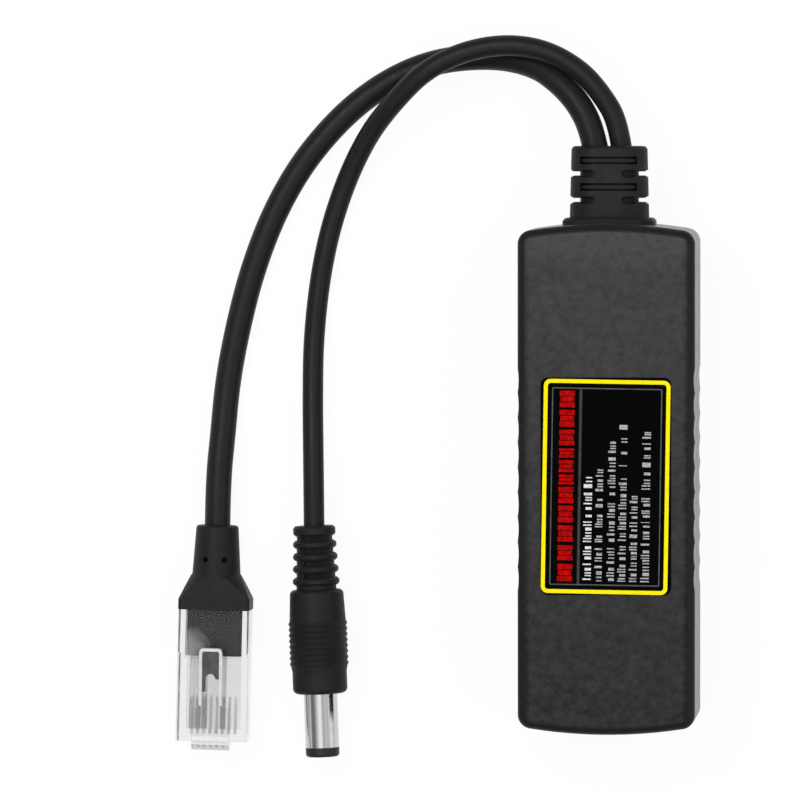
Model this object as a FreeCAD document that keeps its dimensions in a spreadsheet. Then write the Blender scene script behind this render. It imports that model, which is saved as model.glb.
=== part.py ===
"""Inline power splitter for a network cable: housing, data cord and power cord, in millimetres.

The origin is the centre of the housing's underside. +Z is up, +Y points along the housing to the
end where both cords leave, and +X is to its right. Both cords lie on the surface that the housing
stands on, turn back along its left side and end in their plugs.
"""
import FreeCAD, Part
import math
import os

import Sketcher
from FreeCAD import Placement, Rotation, Vector

# Driving sizes: name, value in millimetres or degrees, what it is
SIZES = [
    ("body_width", 28.6, "housing across its flat sides"),
    ("body_length", 82.3, "housing from end to end, over the bulge"),
    ("body_height", 23.0, "housing from underside to top"),
    ("end_radius", 79.0, "bulge of both ends, seen from above"),
    ("corner_radius", 2.3, "upright corners of the housing"),
    ("rim_radius", 1.5, "edge round the top face and the underside"),
    ("wall", 1.8, "side and end walls"),
    ("panel", 1.8, "top and bottom panels"),
    ("seam_height", 11.5, "height of the seam between the shells"),
    ("seam_bevel", 0.25, "bevel along the seam"),
    ("tongue_wall", 0.8, "thickness of the tongue inside the seam"),
    ("tongue_height", 1.2, "height of the tongue"),
    ("seam_play", 0.1, "play round the tongue"),
    ("flute_pitch", 4.0, "from one grip flute to the next"),
    ("flute_depth", 0.2, "depth of a grip flute"),
    ("flute_count", 9, "grip flutes on each side"),
    ("flute_foot", 0.5, "height at which the flutes start"),
    ("label_width", 21.0, "label across"),
    ("label_length", 35.0, "label along the housing"),
    ("label_place", -1.0, "middle of the label along the housing"),
    ("label_thickness", 0.15, "label foil"),
    ("label_corner", 1.2, "corners of the label"),
    ("gland_width", 12.9, "cord gland across, at its flange"),
    ("gland_height", 8.8, "cord gland from top to bottom"),
    ("gland_reach", 12.45, "gland tip from the end of the housing"),
    ("gland_taper", 1.4, "taper of the gland, degrees"),
    ("core_width", 9.5, "core of the gland across"),
    ("core_height", 5.5, "core of the gland from top to bottom"),
    ("neck_width", 12.0, "gland neck in the wall, across"),
    ("neck_height", 8.0, "gland neck in the wall, from top to bottom"),
    ("neck_play", 0.1, "play round the neck"),
    ("flange_width", 15.0, "gland flange across"),
    ("flange_height", 11.0, "gland flange from top to bottom"),
    ("flange_thickness", 1.1, "gland flange outside the wall"),
    ("flange_corner", 2.8, "corners of the gland flange"),
    ("flange_bevel", 0.4, "bevel round the outer face of the flange"),
    ("back_flange", 1.5, "gland flange inside the wall"),
    ("slot_width", 1.25, "slots of the gland, along it"),
    ("slot_pitch", 2.14, "from one gland slot to the next"),
    ("slot_start", 2.3, "first slot from the gland tip"),
    ("web_width", 4.3, "web left between the side slots"),
    ("slot_rim", 0.25, "core of the gland beyond the side slots"),
    ("notch_width", 0.7, "notches in the sides of the gland, along it"),
    ("notch_mouth", 0.4, "widening of a notch to each side at its mouth"),
    ("notch_slope", 0.7, "depth over which a notch widens"),
    ("face_slot", 9.2, "length of the top and bottom slots"),
    ("face_web", 1.6, "web between the top and bottom slots"),
    ("gland_round", 0.7, "edge of the gland tip"),
    ("board_side", 0.3, "circuit board from the side walls"),
    ("board_thickness", 1.6, "circuit board"),
    ("board_lift", 4.0, "underside of the board above the underside of the housing"),
    ("board_back", 1.2, "board from the wall with the socket"),
    ("board_front", 7.3, "board from the wall with the gland"),
    ("boss_width", 4.0, "bosses under the board"),
    ("pin_width", 2.0, "locating pins on the bosses"),
    ("pin_play", 0.1, "play round a locating pin"),
    ("pin_rise", 0.6, "pin above the board"),
    ("post_wall", 0.8, "wall of the posts that hold the board down"),
    ("boss_inset", 2.1, "bosses from the side walls"),
    ("boss_near", 8.2, "near bosses from the end of the board"),
    ("boss_far", 3.0, "far bosses from the other end of the board"),
    ("jack_width", 15.8, "socket moulding across"),
    ("jack_height", 13.5, "socket moulding above the board"),
    ("jack_depth", 15.0, "socket moulding from front to back"),
    ("jack_recess", 0.55, "socket front behind the end of the bulge"),
    ("jack_play", 0.15, "play round the socket in the housing"),
    ("port_width", 12.0, "opening for the plug, across"),
    ("port_height", 6.9, "opening for the plug, upright"),
    ("port_depth", 12.4, "depth of the opening"),
    ("port_lift", 3.8, "opening above the board"),
    ("latch_way", 6.5, "way for the wide part of the latch, across"),
    ("latch_step", 1.4, "height of that way"),
    ("tab_way", 4.0, "way for the tab of the latch, across"),
    ("tab_step", 1.5, "height of that way"),
    ("well_width", 8.8, "well of the contact springs, across"),
    ("well_height", 1.4, "well of the contact springs, above the opening"),
    ("well_lip", 1.2, "front lip before the well"),
    ("peg_width", 3.2, "pegs of the socket in the board"),
    ("peg_spacing", 11.4, "between the pegs"),
    ("contact_pitch", 1.02, "from one contact to the next"),
    ("contact_count", 8, "contacts of the socket and of the plug"),
    ("spring_wire", 0.36, "contact springs, square"),
    ("spring_reach", 6.4, "free end of a spring behind its bend"),
    ("spring_dip", 2.2, "free end of a spring below the roof of the opening"),
    ("data_cord_width", 4.2, "data cord"),
    ("power_cord_width", 3.4, "power cord"),
    ("boot_entry", 6.86, "boot of the data plug where the cord enters"),
    ("boot_waist", 7.88, "boot before it flares"),
    ("boot_flare", 14.0, "full flare of the boot, before its flats"),
    ("flare_start", 7.9, "start of the flare from the cord"),
    ("flare_end", 12.35, "end of the flare from the cord"),
    ("flank_end", 12.0, "flanks of the flare reach the plug's width, from the cord"),
    ("flank_ease", 0.05, "flanks beyond the waist where they start"),
    ("boot_length", 13.7, "boot from cord to clear plug"),
    ("boot_height", 7.8, "boot over its flats"),
    ("boot_round", 0.5, "edge of the boot where the cord enters"),
    ("dimple_width", 0.9, "dimples in the boot"),
    ("dimple_depth", 0.8, "their depth"),
    ("dimple_place", 5.5, "dimples from the cord"),
    ("dimple_spacing", 3.1, "between the dimples"),
    ("plug_width", 11.68, "clear plug across"),
    ("plug_height", 6.6, "clear plug without its latch"),
    ("plug_length", 21.5, "clear plug without its nose"),
    ("plug_round", 0.4, "long edges of the clear plug"),
    ("plug_step", 7.5, "length of the lower part next to the boot"),
    ("plug_step_drop", 0.3, "how much lower that part is"),
    ("nose_reach", 1.3, "latch root in front of the plug"),
    ("nose_width", 6.1, "latch root across"),
    ("tab_width", 3.8, "latch tab across"),
    ("tab_length", 9.9, "latch tab from its shoulders to its tail"),
    ("tab_tail", 6.0, "latch tail from the boot"),
    ("tab_rise", 3.9, "latch tail above the plug"),
    ("shoulder_rise", 2.3, "latch shoulders above the plug"),
    ("latch_thickness", 0.9, "latch"),
    ("tab_groove", 1.5, "groove in the latch tab, across"),
    ("tab_groove_length", 5.6, "groove in the latch tab, along it"),
    ("tab_groove_depth", 0.25, "depth of that groove"),
    ("latch_foot", 0.3, "foot of the latch root above the middle of the plug"),
    ("cable_room_width", 9.3, "room for the cord's jacket in the plug, across"),
    ("cable_room_height", 5.0, "that room, upright"),
    ("cable_room_length", 8.0, "that room, along the plug"),
    ("wire_room_height", 1.1, "room for the wires"),
    ("wire_room_floor", 1.75, "its floor above the plug's underside"),
    ("wire_room_end", 1.8, "its end from the front of the plug"),
    ("room_play", 0.15, "play round the jacket end"),
    ("jacket_end", 7.6, "jacket end inside the plug, along it"),
    ("jacket_corner", 1.0, "corners of the flattened jacket end"),
    ("wire_width", 0.9, "insulated wires"),
    ("blade_thickness", 0.36, "contact blades"),
    ("blade_length", 6.0, "contact blades along the plug"),
    ("blade_front", 1.0, "blades from the front of the plug"),
    ("blade_recess", 0.3, "blades behind the plug's underside"),
    ("blade_play", 0.05, "play beside a blade"),
    ("grip_ring", 6.9, "first ring of the power plug's strain relief"),
    ("grip_valley", 5.8, "first valley between the rings"),
    ("grip_growth", 0.09, "growth of each ring and valley, on the radius"),
    ("ring_pitch", 2.01, "from one ring to the next"),
    ("ring_width", 1.25, "ring along the cord"),
    ("ring_round", 0.35, "bevelled edges of the rings"),
    ("window_width", 3.3, "windows between the rings"),
    ("ring_count", 5, "rings of the strain relief"),
    ("relief_tail", 0.35, "extra length of the last valley"),
    ("grip_length", 17.0, "grip of the power plug"),
    ("grip_back", 8.7, "grip next to the strain relief"),
    ("grip_swell", 9.2, "grip at its fine ridges"),
    ("grip_front", 8.9, "grip at its front"),
    ("ridge_height", 0.22, "fine ridges"),
    ("ridge_pitch", 0.93, "from one fine ridge to the next"),
    ("ridge_count", 8, "fine ridges"),
    ("ridge_start", 5.1, "first ridge from the back of the grip"),
    ("grip_round", 0.9, "front edge of the grip"),
    ("shoulder_round", 0.8, "back edge of the grip"),
    ("barrel_width", 5.5, "metal barrel"),
    ("barrel_wall", 0.4, "its wall"),
    ("barrel_length", 8.8, "barrel outside the grip"),
    ("barrel_seat", 5.0, "barrel inside the grip"),
    ("barrel_play", 0.03, "play round the barrel in the grip"),
    ("shank_width", 4.7, "crimped shank of the barrel in the grip"),
    ("tip_length", 1.55, "dark ring at the tip"),
    ("tip_round", 0.5, "edge of the tip"),
    ("centre_hole", 2.1, "hole of the centre contact"),
    ("centre_wall", 0.4, "wall of the centre contact"),
    ("centre_recess", 0.75, "centre contact behind the tip"),
    ("centre_depth", 9.0, "depth of its hole"),
    ("magnetics_width", 12.7, "data transformer block across"),
    ("magnetics_length", 9.5, "data transformer block along the board"),
    ("magnetics_height", 5.9, "data transformer block"),
    ("magnetics_place", 20.2, "its centre from the near end of the board"),
    ("lead_pitch", 1.5, "from one of its leads to the next"),
    ("lead_count", 8, "leads on each side"),
    ("lead_reach", 1.2, "flat leads beyond their package"),
    ("lead_width", 0.4, "flat leads across"),
    ("lead_sheet", 0.2, "thickness of the flat leads"),
    ("core_block", 13.2, "power transformer core across"),
    ("core_depth", 6.0, "that core along the board"),
    ("core_rise", 12.0, "that core upright"),
    ("core_limb", 1.5, "its outer limbs and yokes"),
    ("core_gap", 0.1, "play between core, bobbin and winding"),
    ("bobbin_length", 12.0, "bobbin along the board"),
    ("bobbin_sheet", 0.7, "bobbin flanges and tube"),
    ("winding_length", 11.0, "winding along the board"),
    ("winding_corner", 1.0, "corners of the winding"),
    ("bobbin_pin", 0.7, "pins of the bobbin"),
    ("bobbin_pin_pitch", 2.4, "from one pin to the next"),
    ("bobbin_pin_count", 4, "pins in each row"),
    ("transformer_x", 7.6, "power transformer from the right edge of the board"),
    ("transformer_y", 35.0, "power transformer from the near end of the board"),
    ("can_width", 8.0, "output capacitors"),
    ("can_height", 12.0, "output capacitors above the board"),
    ("can_x", 4.9, "first output capacitor from the left edge of the board"),
    ("can_y", 15.7, "output capacitors from the far end of the board"),
    ("can_pitch", 8.6, "between the output capacitors"),
    ("input_can_width", 6.3, "input capacitor"),
    ("input_can_height", 11.0, "input capacitor above the board"),
    ("input_can_x", 4.2, "input capacitor from the left edge of the board"),
    ("input_can_y", 31.0, "input capacitor from the near end of the board"),
    ("groove_lift", 1.2, "rolled groove of the capacitors above the board"),
    ("groove_depth", 0.3, "its depth and half its height"),
    ("choke_width", 6.0, "output choke"),
    ("choke_height", 6.5, "output choke above the board"),
    ("choke_disc", 1.2, "discs of the output choke"),
    ("choke_waist", 3.0, "waist of its drum"),
    ("choke_x", 3.4, "output choke from the right edge of the board"),
    ("bridge_width", 3.9, "bridge rectifiers across"),
    ("bridge_length", 4.7, "bridge rectifiers along the board"),
    ("bridge_height", 2.5, "bridge rectifiers"),
    ("bridge_x", 2.6, "bridge rectifiers from the side edges of the board"),
    ("chip_width", 3.9, "controller chip across"),
    ("chip_length", 9.9, "controller chip along the board"),
    ("chip_height", 1.5, "controller chip"),
    ("chip_x", 4.2, "controller chip from the left edge of the board"),
    ("chip_y", 42.2, "controller chip from the near end of the board"),
    ("chip_pitch", 1.27, "from one of its leads to the next"),
    ("chip_lead_count", 8, "its leads on each side"),
    ("coupler_width", 4.6, "optocoupler across"),
    ("coupler_length", 6.5, "optocoupler along the board"),
    ("coupler_height", 3.5, "optocoupler"),
    ("coupler_x", 1.2, "optocoupler across the board"),
    ("diode_width", 5.8, "output diode across"),
    ("diode_length", 5.0, "output diode along the board"),
    ("diode_height", 2.2, "output diode"),
    ("diode_x", 4.0, "output diode from the right edge of the board"),
    ("row_y", 45.9, "optocoupler and diode from the near end of the board"),
    ("resistor_width", 1.25, "chip resistors across"),
    ("resistor_length", 2.0, "chip resistors along the board"),
    ("resistor_height", 0.55, "chip resistors"),
    ("resistor_pitch", 2.2, "from one chip resistor to the next"),
    ("resistor_count", 6, "chip resistors in their row"),
    ("resistor_y", 7.9, "row of chip resistors from the far end of the board"),
    ("lead_wire_width", 1.2, "wires from the gland to the board"),
    ("lead_wire_pitch", 1.6, "from one of those wires to the next"),
    ("lead_wire_drop", 3.2, "those wires' ends from the end of the board"),
    ("lead_wire_play", 0.05, "those wires from the gland"),
    ("data_wire_count", 4, "wires of the data cord"),
    ("data_wire_x", -4.16, "first of them across the board"),
    ("power_wire_count", 2, "wires of the power cord"),
    ("power_wire_x", 2.56, "first of them across the board"),
]

SHEET = "Sizes"
# How far a cut starts outside what it cuts
OVERCUT = 1.0
document = FreeCAD.newDocument("splitter")
sheet = document.addObject("Spreadsheet::Sheet", SHEET)


class Size:
    """A value that keeps its formula over the sheet's cells beside its present amount."""

    def __init__(self, formula, amount):
        self.formula = formula
        self.amount = amount

    def __add__(self, other):
        other = sized(other)
        return Size(f"({self.formula} + {other.formula})", self.amount + other.amount)

    def __sub__(self, other):
        other = sized(other)
        return Size(f"({self.formula} - {other.formula})", self.amount - other.amount)

    def __mul__(self, other):
        other = sized(other)
        return Size(f"({self.formula} * {other.formula})", self.amount * other.amount)

    def __truediv__(self, other):
        other = sized(other)
        return Size(f"({self.formula} / {other.formula})", self.amount / other.amount)

    def __neg__(self):
        return Size(f"(0 - {self.formula})", -self.amount)

    def __radd__(self, other):
        return sized(other) + self

    def __rsub__(self, other):
        return sized(other) - self

    def __rmul__(self, other):
        return sized(other) * self


class Dimensions:
    """The sheet's cells by name, each as a Size."""

    def __init__(self, rows):
        for number, (name, amount, meaning) in enumerate(rows, start=1):
            sheet.set(f"A{number}", meaning)
            sheet.set(f"B{number}", str(amount))
            sheet.setAlias(f"B{number}", name)
            setattr(self, name, Size(f"{SHEET}.{name}", float(amount)))


def sized(value):
    """A plain number as a Size."""
    if isinstance(value, Size):
        return value
    return Size(repr(float(value)), float(value))


def root(value):
    return Size(f"sqrt({value.formula})", math.sqrt(value.amount))


def bind(item, name, value):
    item.setExpression(name, sized(value).formula)


dim = Dimensions(SIZES)
document.recompute()

# Sketches and features


def new_body(label):
    body = document.addObject("PartDesign::Body", label)
    body.Label = label
    return body


def origin_feature(body, role):
    return [part for part in body.Origin.OriginFeatures if part.Role == role][0]


def new_sketch(body, name, plane="XY_Plane", offset=0.0):
    """A sketch on one of the body's own planes; on XZ_Plane a positive offset lies towards -Y."""
    sketch = body.newObject("Sketcher::SketchObject", f"{body.Name}_{name}_sketch")
    sketch.AttachmentSupport = [(origin_feature(body, plane), "")]
    sketch.MapMode = "FlatFace"
    bind(sketch, "AttachmentOffset.Base.z", offset)
    return sketch


def fix(sketch, kind, *where, value):
    """A dimension that follows its formula."""
    value = sized(value)
    number = sketch.addConstraint(Sketcher.Constraint(kind, *where, value.amount))
    bind(sketch, f"Constraints[{number}]", value)


def fix_point(sketch, element, vertex, x, y):
    fix(sketch, "DistanceX", -1, 1, element, vertex, value=x)
    fix(sketch, "DistanceY", -1, 1, element, vertex, value=y)


def polygon(sketch, corners):
    """A closed outline of straight sides."""
    corners = [(sized(x), sized(y)) for x, y in corners]
    first = sketch.GeometryCount
    points = [Vector(x.amount, y.amount, 0) for x, y in corners]
    for start, end in zip(points, points[1:] + points[:1]):
        sketch.addGeometry(Part.LineSegment(start, end), False)
    for index, (x, y) in enumerate(corners):
        following = first + (index + 1) % len(corners)
        sketch.addConstraint(Sketcher.Constraint("Coincident", first + index, 2, following, 1))
        fix_point(sketch, first + index, 1, x, y)


def rectangle(sketch, left, right, bottom, top):
    """A rectangle with upright and level sides."""
    left, right, bottom, top = (sized(value) for value in (left, right, bottom, top))
    first = sketch.GeometryCount
    points = [Vector(left.amount, bottom.amount, 0), Vector(right.amount, bottom.amount, 0),
              Vector(right.amount, top.amount, 0), Vector(left.amount, top.amount, 0)]
    for index in range(4):
        sketch.addGeometry(Part.LineSegment(points[index], points[(index + 1) % 4]), False)
    for index in range(4):
        following = first + (index + 1) % 4
        sketch.addConstraint(Sketcher.Constraint("Coincident", first + index, 2, following, 1))
        direction = "Vertical" if index % 2 else "Horizontal"
        sketch.addConstraint(Sketcher.Constraint(direction, first + index))
    fix_point(sketch, first, 1, left, bottom)
    fix_point(sketch, first + 2, 1, right, top)


def centred_rectangle(sketch, x, y, width, height):
    width, height = sized(width) / 2, sized(height) / 2
    rectangle(sketch, x - width, x + width, y - height, y + height)


def circle(sketch, x, y, width):
    """A circle of the given diameter."""
    x, y, radius = sized(x), sized(y), sized(width) / 2
    first = sketch.GeometryCount
    centre = Vector(x.amount, y.amount, 0)
    sketch.addGeometry(Part.Circle(centre, Vector(0, 0, 1), radius.amount), False)
    fix(sketch, "Radius", first, value=radius)
    fix_point(sketch, first, 3, x, y)


def arc(sketch, x, y, radius, start, end):
    """An arc about x, y from one angle to another, in degrees; its ends are left to join."""
    centre = Vector(x.amount, y.amount, 0)
    ring = Part.Circle(centre, Vector(0, 0, 1), radius.amount)
    bow = Part.ArcOfCircle(ring, math.radians(start), math.radians(end))
    return sketch.addGeometry(bow, False)


def stadium(sketch, x, y, width, height):
    """A slot shape with round ends left and right."""
    x, y = sized(x), sized(y)
    radius = sized(height) / 2
    half = sized(width) / 2 - radius
    first = sketch.GeometryCount
    left, right = x - half, x + half
    low, high = y - radius, y + radius
    sketch.addGeometry(Part.LineSegment(Vector(left.amount, low.amount, 0),
                                        Vector(right.amount, low.amount, 0)), False)
    arc(sketch, right, y, radius, -90, 90)
    sketch.addGeometry(Part.LineSegment(Vector(right.amount, high.amount, 0),
                                        Vector(left.amount, high.amount, 0)), False)
    arc(sketch, left, y, radius, 90, 270)
    for index in range(4):
        following = first + (index + 1) % 4
        sketch.addConstraint(Sketcher.Constraint("Tangent", first + index, 2, following, 1))
    fix(sketch, "Radius", first + 1, value=radius)
    fix(sketch, "Radius", first + 3, value=radius)
    fix_point(sketch, first + 1, 3, right, y)
    fix_point(sketch, first + 3, 3, left, y)


def stadium_upright(sketch, x, y, width, height):
    """A slot shape with round ends above and below."""
    x, y = sized(x), sized(y)
    radius = sized(width) / 2
    half = sized(height) / 2 - radius
    first = sketch.GeometryCount
    left, right = x - radius, x + radius
    low, high = y - half, y + half
    sketch.addGeometry(Part.LineSegment(Vector(right.amount, low.amount, 0),
                                        Vector(right.amount, high.amount, 0)), False)
    arc(sketch, x, high, radius, 0, 180)
    sketch.addGeometry(Part.LineSegment(Vector(left.amount, high.amount, 0),
                                        Vector(left.amount, low.amount, 0)), False)
    arc(sketch, x, low, radius, 180, 360)
    for index in range(4):
        following = first + (index + 1) % 4
        sketch.addConstraint(Sketcher.Constraint("Tangent", first + index, 2, following, 1))
    fix(sketch, "Radius", first + 1, value=radius)
    fix(sketch, "Radius", first + 3, value=radius)
    fix_point(sketch, first + 1, 3, x, high)
    fix_point(sketch, first + 3, 3, x, low)


def rounded_rectangle(sketch, x, y, width, height, corner):
    """A rectangle with four equal round corners."""
    x, y, corner = sized(x), sized(y), sized(corner)
    half_width, half_height = sized(width) / 2, sized(height) / 2
    left, right = x - half_width, x + half_width
    low, high = y - half_height, y + half_height
    first = sketch.GeometryCount
    sides = [((left + corner, low), (right - corner, low)),
             ((right, low + corner), (right, high - corner)),
             ((right - corner, high), (left + corner, high)),
             ((left, high - corner), (left, low + corner))]
    centres = [(right - corner, low + corner), (right - corner, high - corner),
               (left + corner, high - corner), (left + corner, low + corner)]
    for index in range(4):
        (x0, y0), (x1, y1) = sides[index]
        sketch.addGeometry(Part.LineSegment(Vector(x0.amount, y0.amount, 0),
                                            Vector(x1.amount, y1.amount, 0)), False)
        arc(sketch, *centres[index], corner, -90 + 90 * index, 90 * index)
    for index in range(8):
        following = first + (index + 1) % 8
        sketch.addConstraint(Sketcher.Constraint("Tangent", first + index, 2, following, 1))
    for index in range(4):
        direction = "Vertical" if index % 2 else "Horizontal"
        sketch.addConstraint(Sketcher.Constraint(direction, first + 2 * index))
        fix(sketch, "Radius", first + 2 * index + 1, value=corner)
    fix(sketch, "DistanceY", -1, 1, first, 1, value=low)
    fix(sketch, "DistanceX", -1, 1, first + 2, 1, value=right)
    fix(sketch, "DistanceY", -1, 1, first + 4, 1, value=high)
    fix(sketch, "DistanceX", -1, 1, first + 6, 1, value=left)


def bulged_outline(sketch, inset):
    """The housing seen from above, drawn in by an even inset: flat sides and bulged ends."""
    side = dim.body_width / 2 - inset
    radius = dim.end_radius - inset
    centre = dim.end_radius - dim.body_length / 2
    corner = root(radius * radius - side * side) - centre
    swing = math.degrees(math.acos(side.amount / radius.amount))
    first = sketch.GeometryCount
    sketch.addGeometry(Part.LineSegment(Vector(side.amount, -corner.amount, 0),
                                        Vector(side.amount, corner.amount, 0)), False)
    arc(sketch, sized(0), -centre, radius, swing, 180 - swing)
    sketch.addGeometry(Part.LineSegment(Vector(-side.amount, corner.amount, 0),
                                        Vector(-side.amount, -corner.amount, 0)), False)
    arc(sketch, sized(0), centre, radius, 180 + swing, 360 - swing)
    for index in range(4):
        following = first + (index + 1) % 4
        sketch.addConstraint(Sketcher.Constraint("Coincident", first + index, 2, following, 1))
    for index, place in ((1, -centre), (3, centre)):
        fix(sketch, "Radius", first + index, value=radius)
        fix_point(sketch, first + index, 3, 0, place)
    for index, place in ((0, side), (2, -side)):
        sketch.addConstraint(Sketcher.Constraint("Vertical", first + index))
        fix(sketch, "DistanceX", -1, 1, first + index, 1, value=place)


def end_plate(sketch, half_width, inner, outer):
    """A plate that follows the bulge of the cord end, between two distances outside the wall."""
    centre = dim.body_length / 2 - dim.end_radius
    first = sketch.GeometryCount
    corners = []
    for offset in (inner, outer):
        radius = dim.end_radius + offset
        reach = root(radius * radius - half_width * half_width) + centre
        corners.append((radius, reach))
    (low_radius, low), (high_radius, high) = corners
    low_swing = math.degrees(math.acos(half_width.amount / low_radius.amount))
    high_swing = math.degrees(math.acos(half_width.amount / high_radius.amount))
    side = half_width.amount
    sketch.addGeometry(Part.LineSegment(Vector(side, low.amount, 0), Vector(side, high.amount, 0)),
                       False)
    arc(sketch, sized(0), centre, high_radius, high_swing, 180 - high_swing)
    sketch.addGeometry(Part.LineSegment(Vector(-side, high.amount, 0), Vector(-side, low.amount, 0)),
                       False)
    arc(sketch, sized(0), centre, low_radius, low_swing, 180 - low_swing)
    joints = ((0, 2, 1, 1), (1, 2, 2, 1), (2, 2, 3, 2), (3, 1, 0, 1))
    for element, vertex, other, other_vertex in joints:
        sketch.addConstraint(Sketcher.Constraint("Coincident", first + element, vertex,
                                                 first + other, other_vertex))
    for index, radius in ((1, high_radius), (3, low_radius)):
        fix(sketch, "Radius", first + index, value=radius)
        fix_point(sketch, first + index, 3, 0, centre)
    for index, place in ((0, half_width), (2, -half_width)):
        sketch.addConstraint(Sketcher.Constraint("Vertical", first + index))
        fix(sketch, "DistanceX", -1, 1, first + index, 1, value=place)


def pad(body, sketch, length, middle=False, back=False, taper=None):
    """Material along the sketch's normal, half to each side, or backwards."""
    feature = body.newObject("PartDesign::Pad", sketch.Name.replace("_sketch", "_pad"))
    feature.Profile = sketch
    feature.Midplane = middle
    feature.Reversed = back
    bind(feature, "Length", length)
    if taper is not None:
        bind(feature, "TaperAngle", -taper)
    return finish(body, feature, sketch)


def pocket(body, sketch, length, middle=False, forward=False):
    """A cut against the sketch's normal, half to each side, or forwards."""
    feature = body.newObject("PartDesign::Pocket", sketch.Name.replace("_sketch", "_pocket"))
    feature.Profile = sketch
    feature.Midplane = middle
    feature.Reversed = forward
    bind(feature, "Length", length)
    return finish(body, feature, sketch)


def revolve(body, sketch, axis="Y_Axis"):
    feature = body.newObject("PartDesign::Revolution", sketch.Name.replace("_sketch", "_turn"))
    feature.Profile = sketch
    feature.ReferenceAxis = (origin_feature(body, axis), [""])
    feature.Angle = 360.0
    return finish(body, feature, sketch)


def finish(body, feature, sketch):
    sketch.Visibility = False
    body.Tip = feature
    document.recompute()
    return feature


def row_of(body, features, axis, pitch, count):
    """Copies at an even pitch along one of the body's axes."""
    pattern = body.newObject("PartDesign::LinearPattern", f"{features[-1].Name}_row")
    pattern.Originals = features
    pattern.Direction = (origin_feature(body, axis), [""])
    bind(pattern, "Length", (sized(count) - 1) * sized(pitch))
    bind(pattern, "Occurrences", count)
    body.Tip = pattern
    document.recompute()
    return pattern


def mirror(body, features, plane):
    copy = body.newObject("PartDesign::Mirrored", f"{features[-1].Name}_mirror")
    copy.Originals = features
    copy.MirrorPlane = (origin_feature(body, plane), [""])
    body.Tip = copy
    document.recompute()
    return copy


def round_edges(body, radius, chosen, bevel=False):
    """A fillet, or a bevel, on the edges that the test picks from the body so far."""
    base = body.Tip
    names = [f"Edge{number}" for number, edge in enumerate(base.Shape.Edges, start=1)
             if chosen(edge)]
    if not names:
        raise RuntimeError(f"no edge to round on {body.Name}")
    kind = "Chamfer" if bevel else "Fillet"
    feature = body.newObject(f"PartDesign::{kind}", f"{base.Name}_{kind.lower()}")
    feature.Base = (base, names)
    bind(feature, "Size" if bevel else "Radius", radius)
    body.Tip = feature
    document.recompute()
    return feature


# Tests that pick edges


def near(a, b, reach=1e-4):
    return abs(a - b) < reach


def upright(edge):
    """A straight edge along Z."""
    box = edge.BoundBox
    return box.XLength < 1e-6 and box.YLength < 1e-6


def lengthwise(edge):
    """A straight edge along Y."""
    box = edge.BoundBox
    return box.XLength < 1e-6 and box.ZLength < 1e-6


def level_at(height):
    """Edges that lie in one level plane."""
    height = sized(height).amount

    def test(edge):
        box = edge.BoundBox
        return near(box.ZMin, height) and near(box.ZMax, height)
    return test


def across_at(place):
    """Edges that lie in one plane across Y."""
    place = sized(place).amount

    def test(edge):
        box = edge.BoundBox
        return near(box.YMin, place) and near(box.YMax, place)
    return test


def on_bulge(offset):
    """Edges that lie on the cord end's bulge, grown by an offset."""
    centre = dim.body_length.amount / 2 - dim.end_radius.amount
    radius = dim.end_radius.amount + offset.amount

    def test(edge):
        return all(near(math.hypot(point.x, point.y - centre), radius)
                   for point in edge.discretize(3))
    return test

# Places that several pieces share

end = dim.body_length / 2
inside_end = end - dim.wall
board_top = dim.board_lift + dim.board_thickness
board_near = dim.board_back - inside_end
board_far = inside_end - dim.board_front
board_half = dim.body_width / 2 - dim.wall - dim.board_side
transformer_x = board_half - dim.transformer_x
can_x = dim.can_x - board_half
can_y = board_far - dim.can_y
choke_x = board_half - dim.choke_x
boss_x = dim.body_width / 2 - dim.wall - dim.boss_inset
boss_places = [(sign * boss_x, y) for sign in (-1, 1)
               for y in (board_near + dim.boss_near, board_far - dim.boss_far)]
jack_front = end - dim.jack_recess
peg_y = dim.jack_depth / 2 - jack_front
port_floor = board_top + dim.port_lift
port_roof = port_floor + dim.port_height
contact_row = (dim.contact_count - 1) * dim.contact_pitch

# Housing


def cut_flutes(body):
    """Shallow upright hollows along both sides, for the fingers."""
    half_chord = dim.flute_pitch / 2
    depth = dim.flute_depth
    radius = (half_chord * half_chord + depth * depth) / (2 * depth)
    middle = dim.body_width / 2 + radius - depth
    first = -(dim.flute_count - 1) * dim.flute_pitch / 2
    for name, side in (("right", 1), ("left", -1)):
        sketch = new_sketch(body, f"{name}_flute", offset=dim.flute_foot)
        circle(sketch, side * middle, first, 2 * radius)
        cut = pocket(body, sketch, dim.body_height, forward=True)
        row_of(body, [cut], "Y_Axis", dim.flute_pitch, dim.flute_count)


def socket_window(body):
    """The opening for the socket in the near end wall."""
    sketch = new_sketch(body, "window", "XZ_Plane", offset=end + OVERCUT)
    half = dim.jack_width / 2 + dim.jack_play
    rectangle(sketch, -half, half, board_top - dim.jack_play,
              board_top + dim.jack_height + dim.jack_play)
    pocket(body, sketch, dim.wall + 2 * OVERCUT)


def gland_notch(body):
    """The notch for the gland's neck in the far end wall."""
    sketch = new_sketch(body, "notch", "XZ_Plane", offset=-(end + OVERCUT))
    stadium(sketch, 0, dim.seam_height, dim.neck_width + 2 * dim.neck_play,
            dim.neck_height + 2 * dim.neck_play)
    pocket(body, sketch, dim.wall + 2 * OVERCUT, forward=True)


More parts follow.
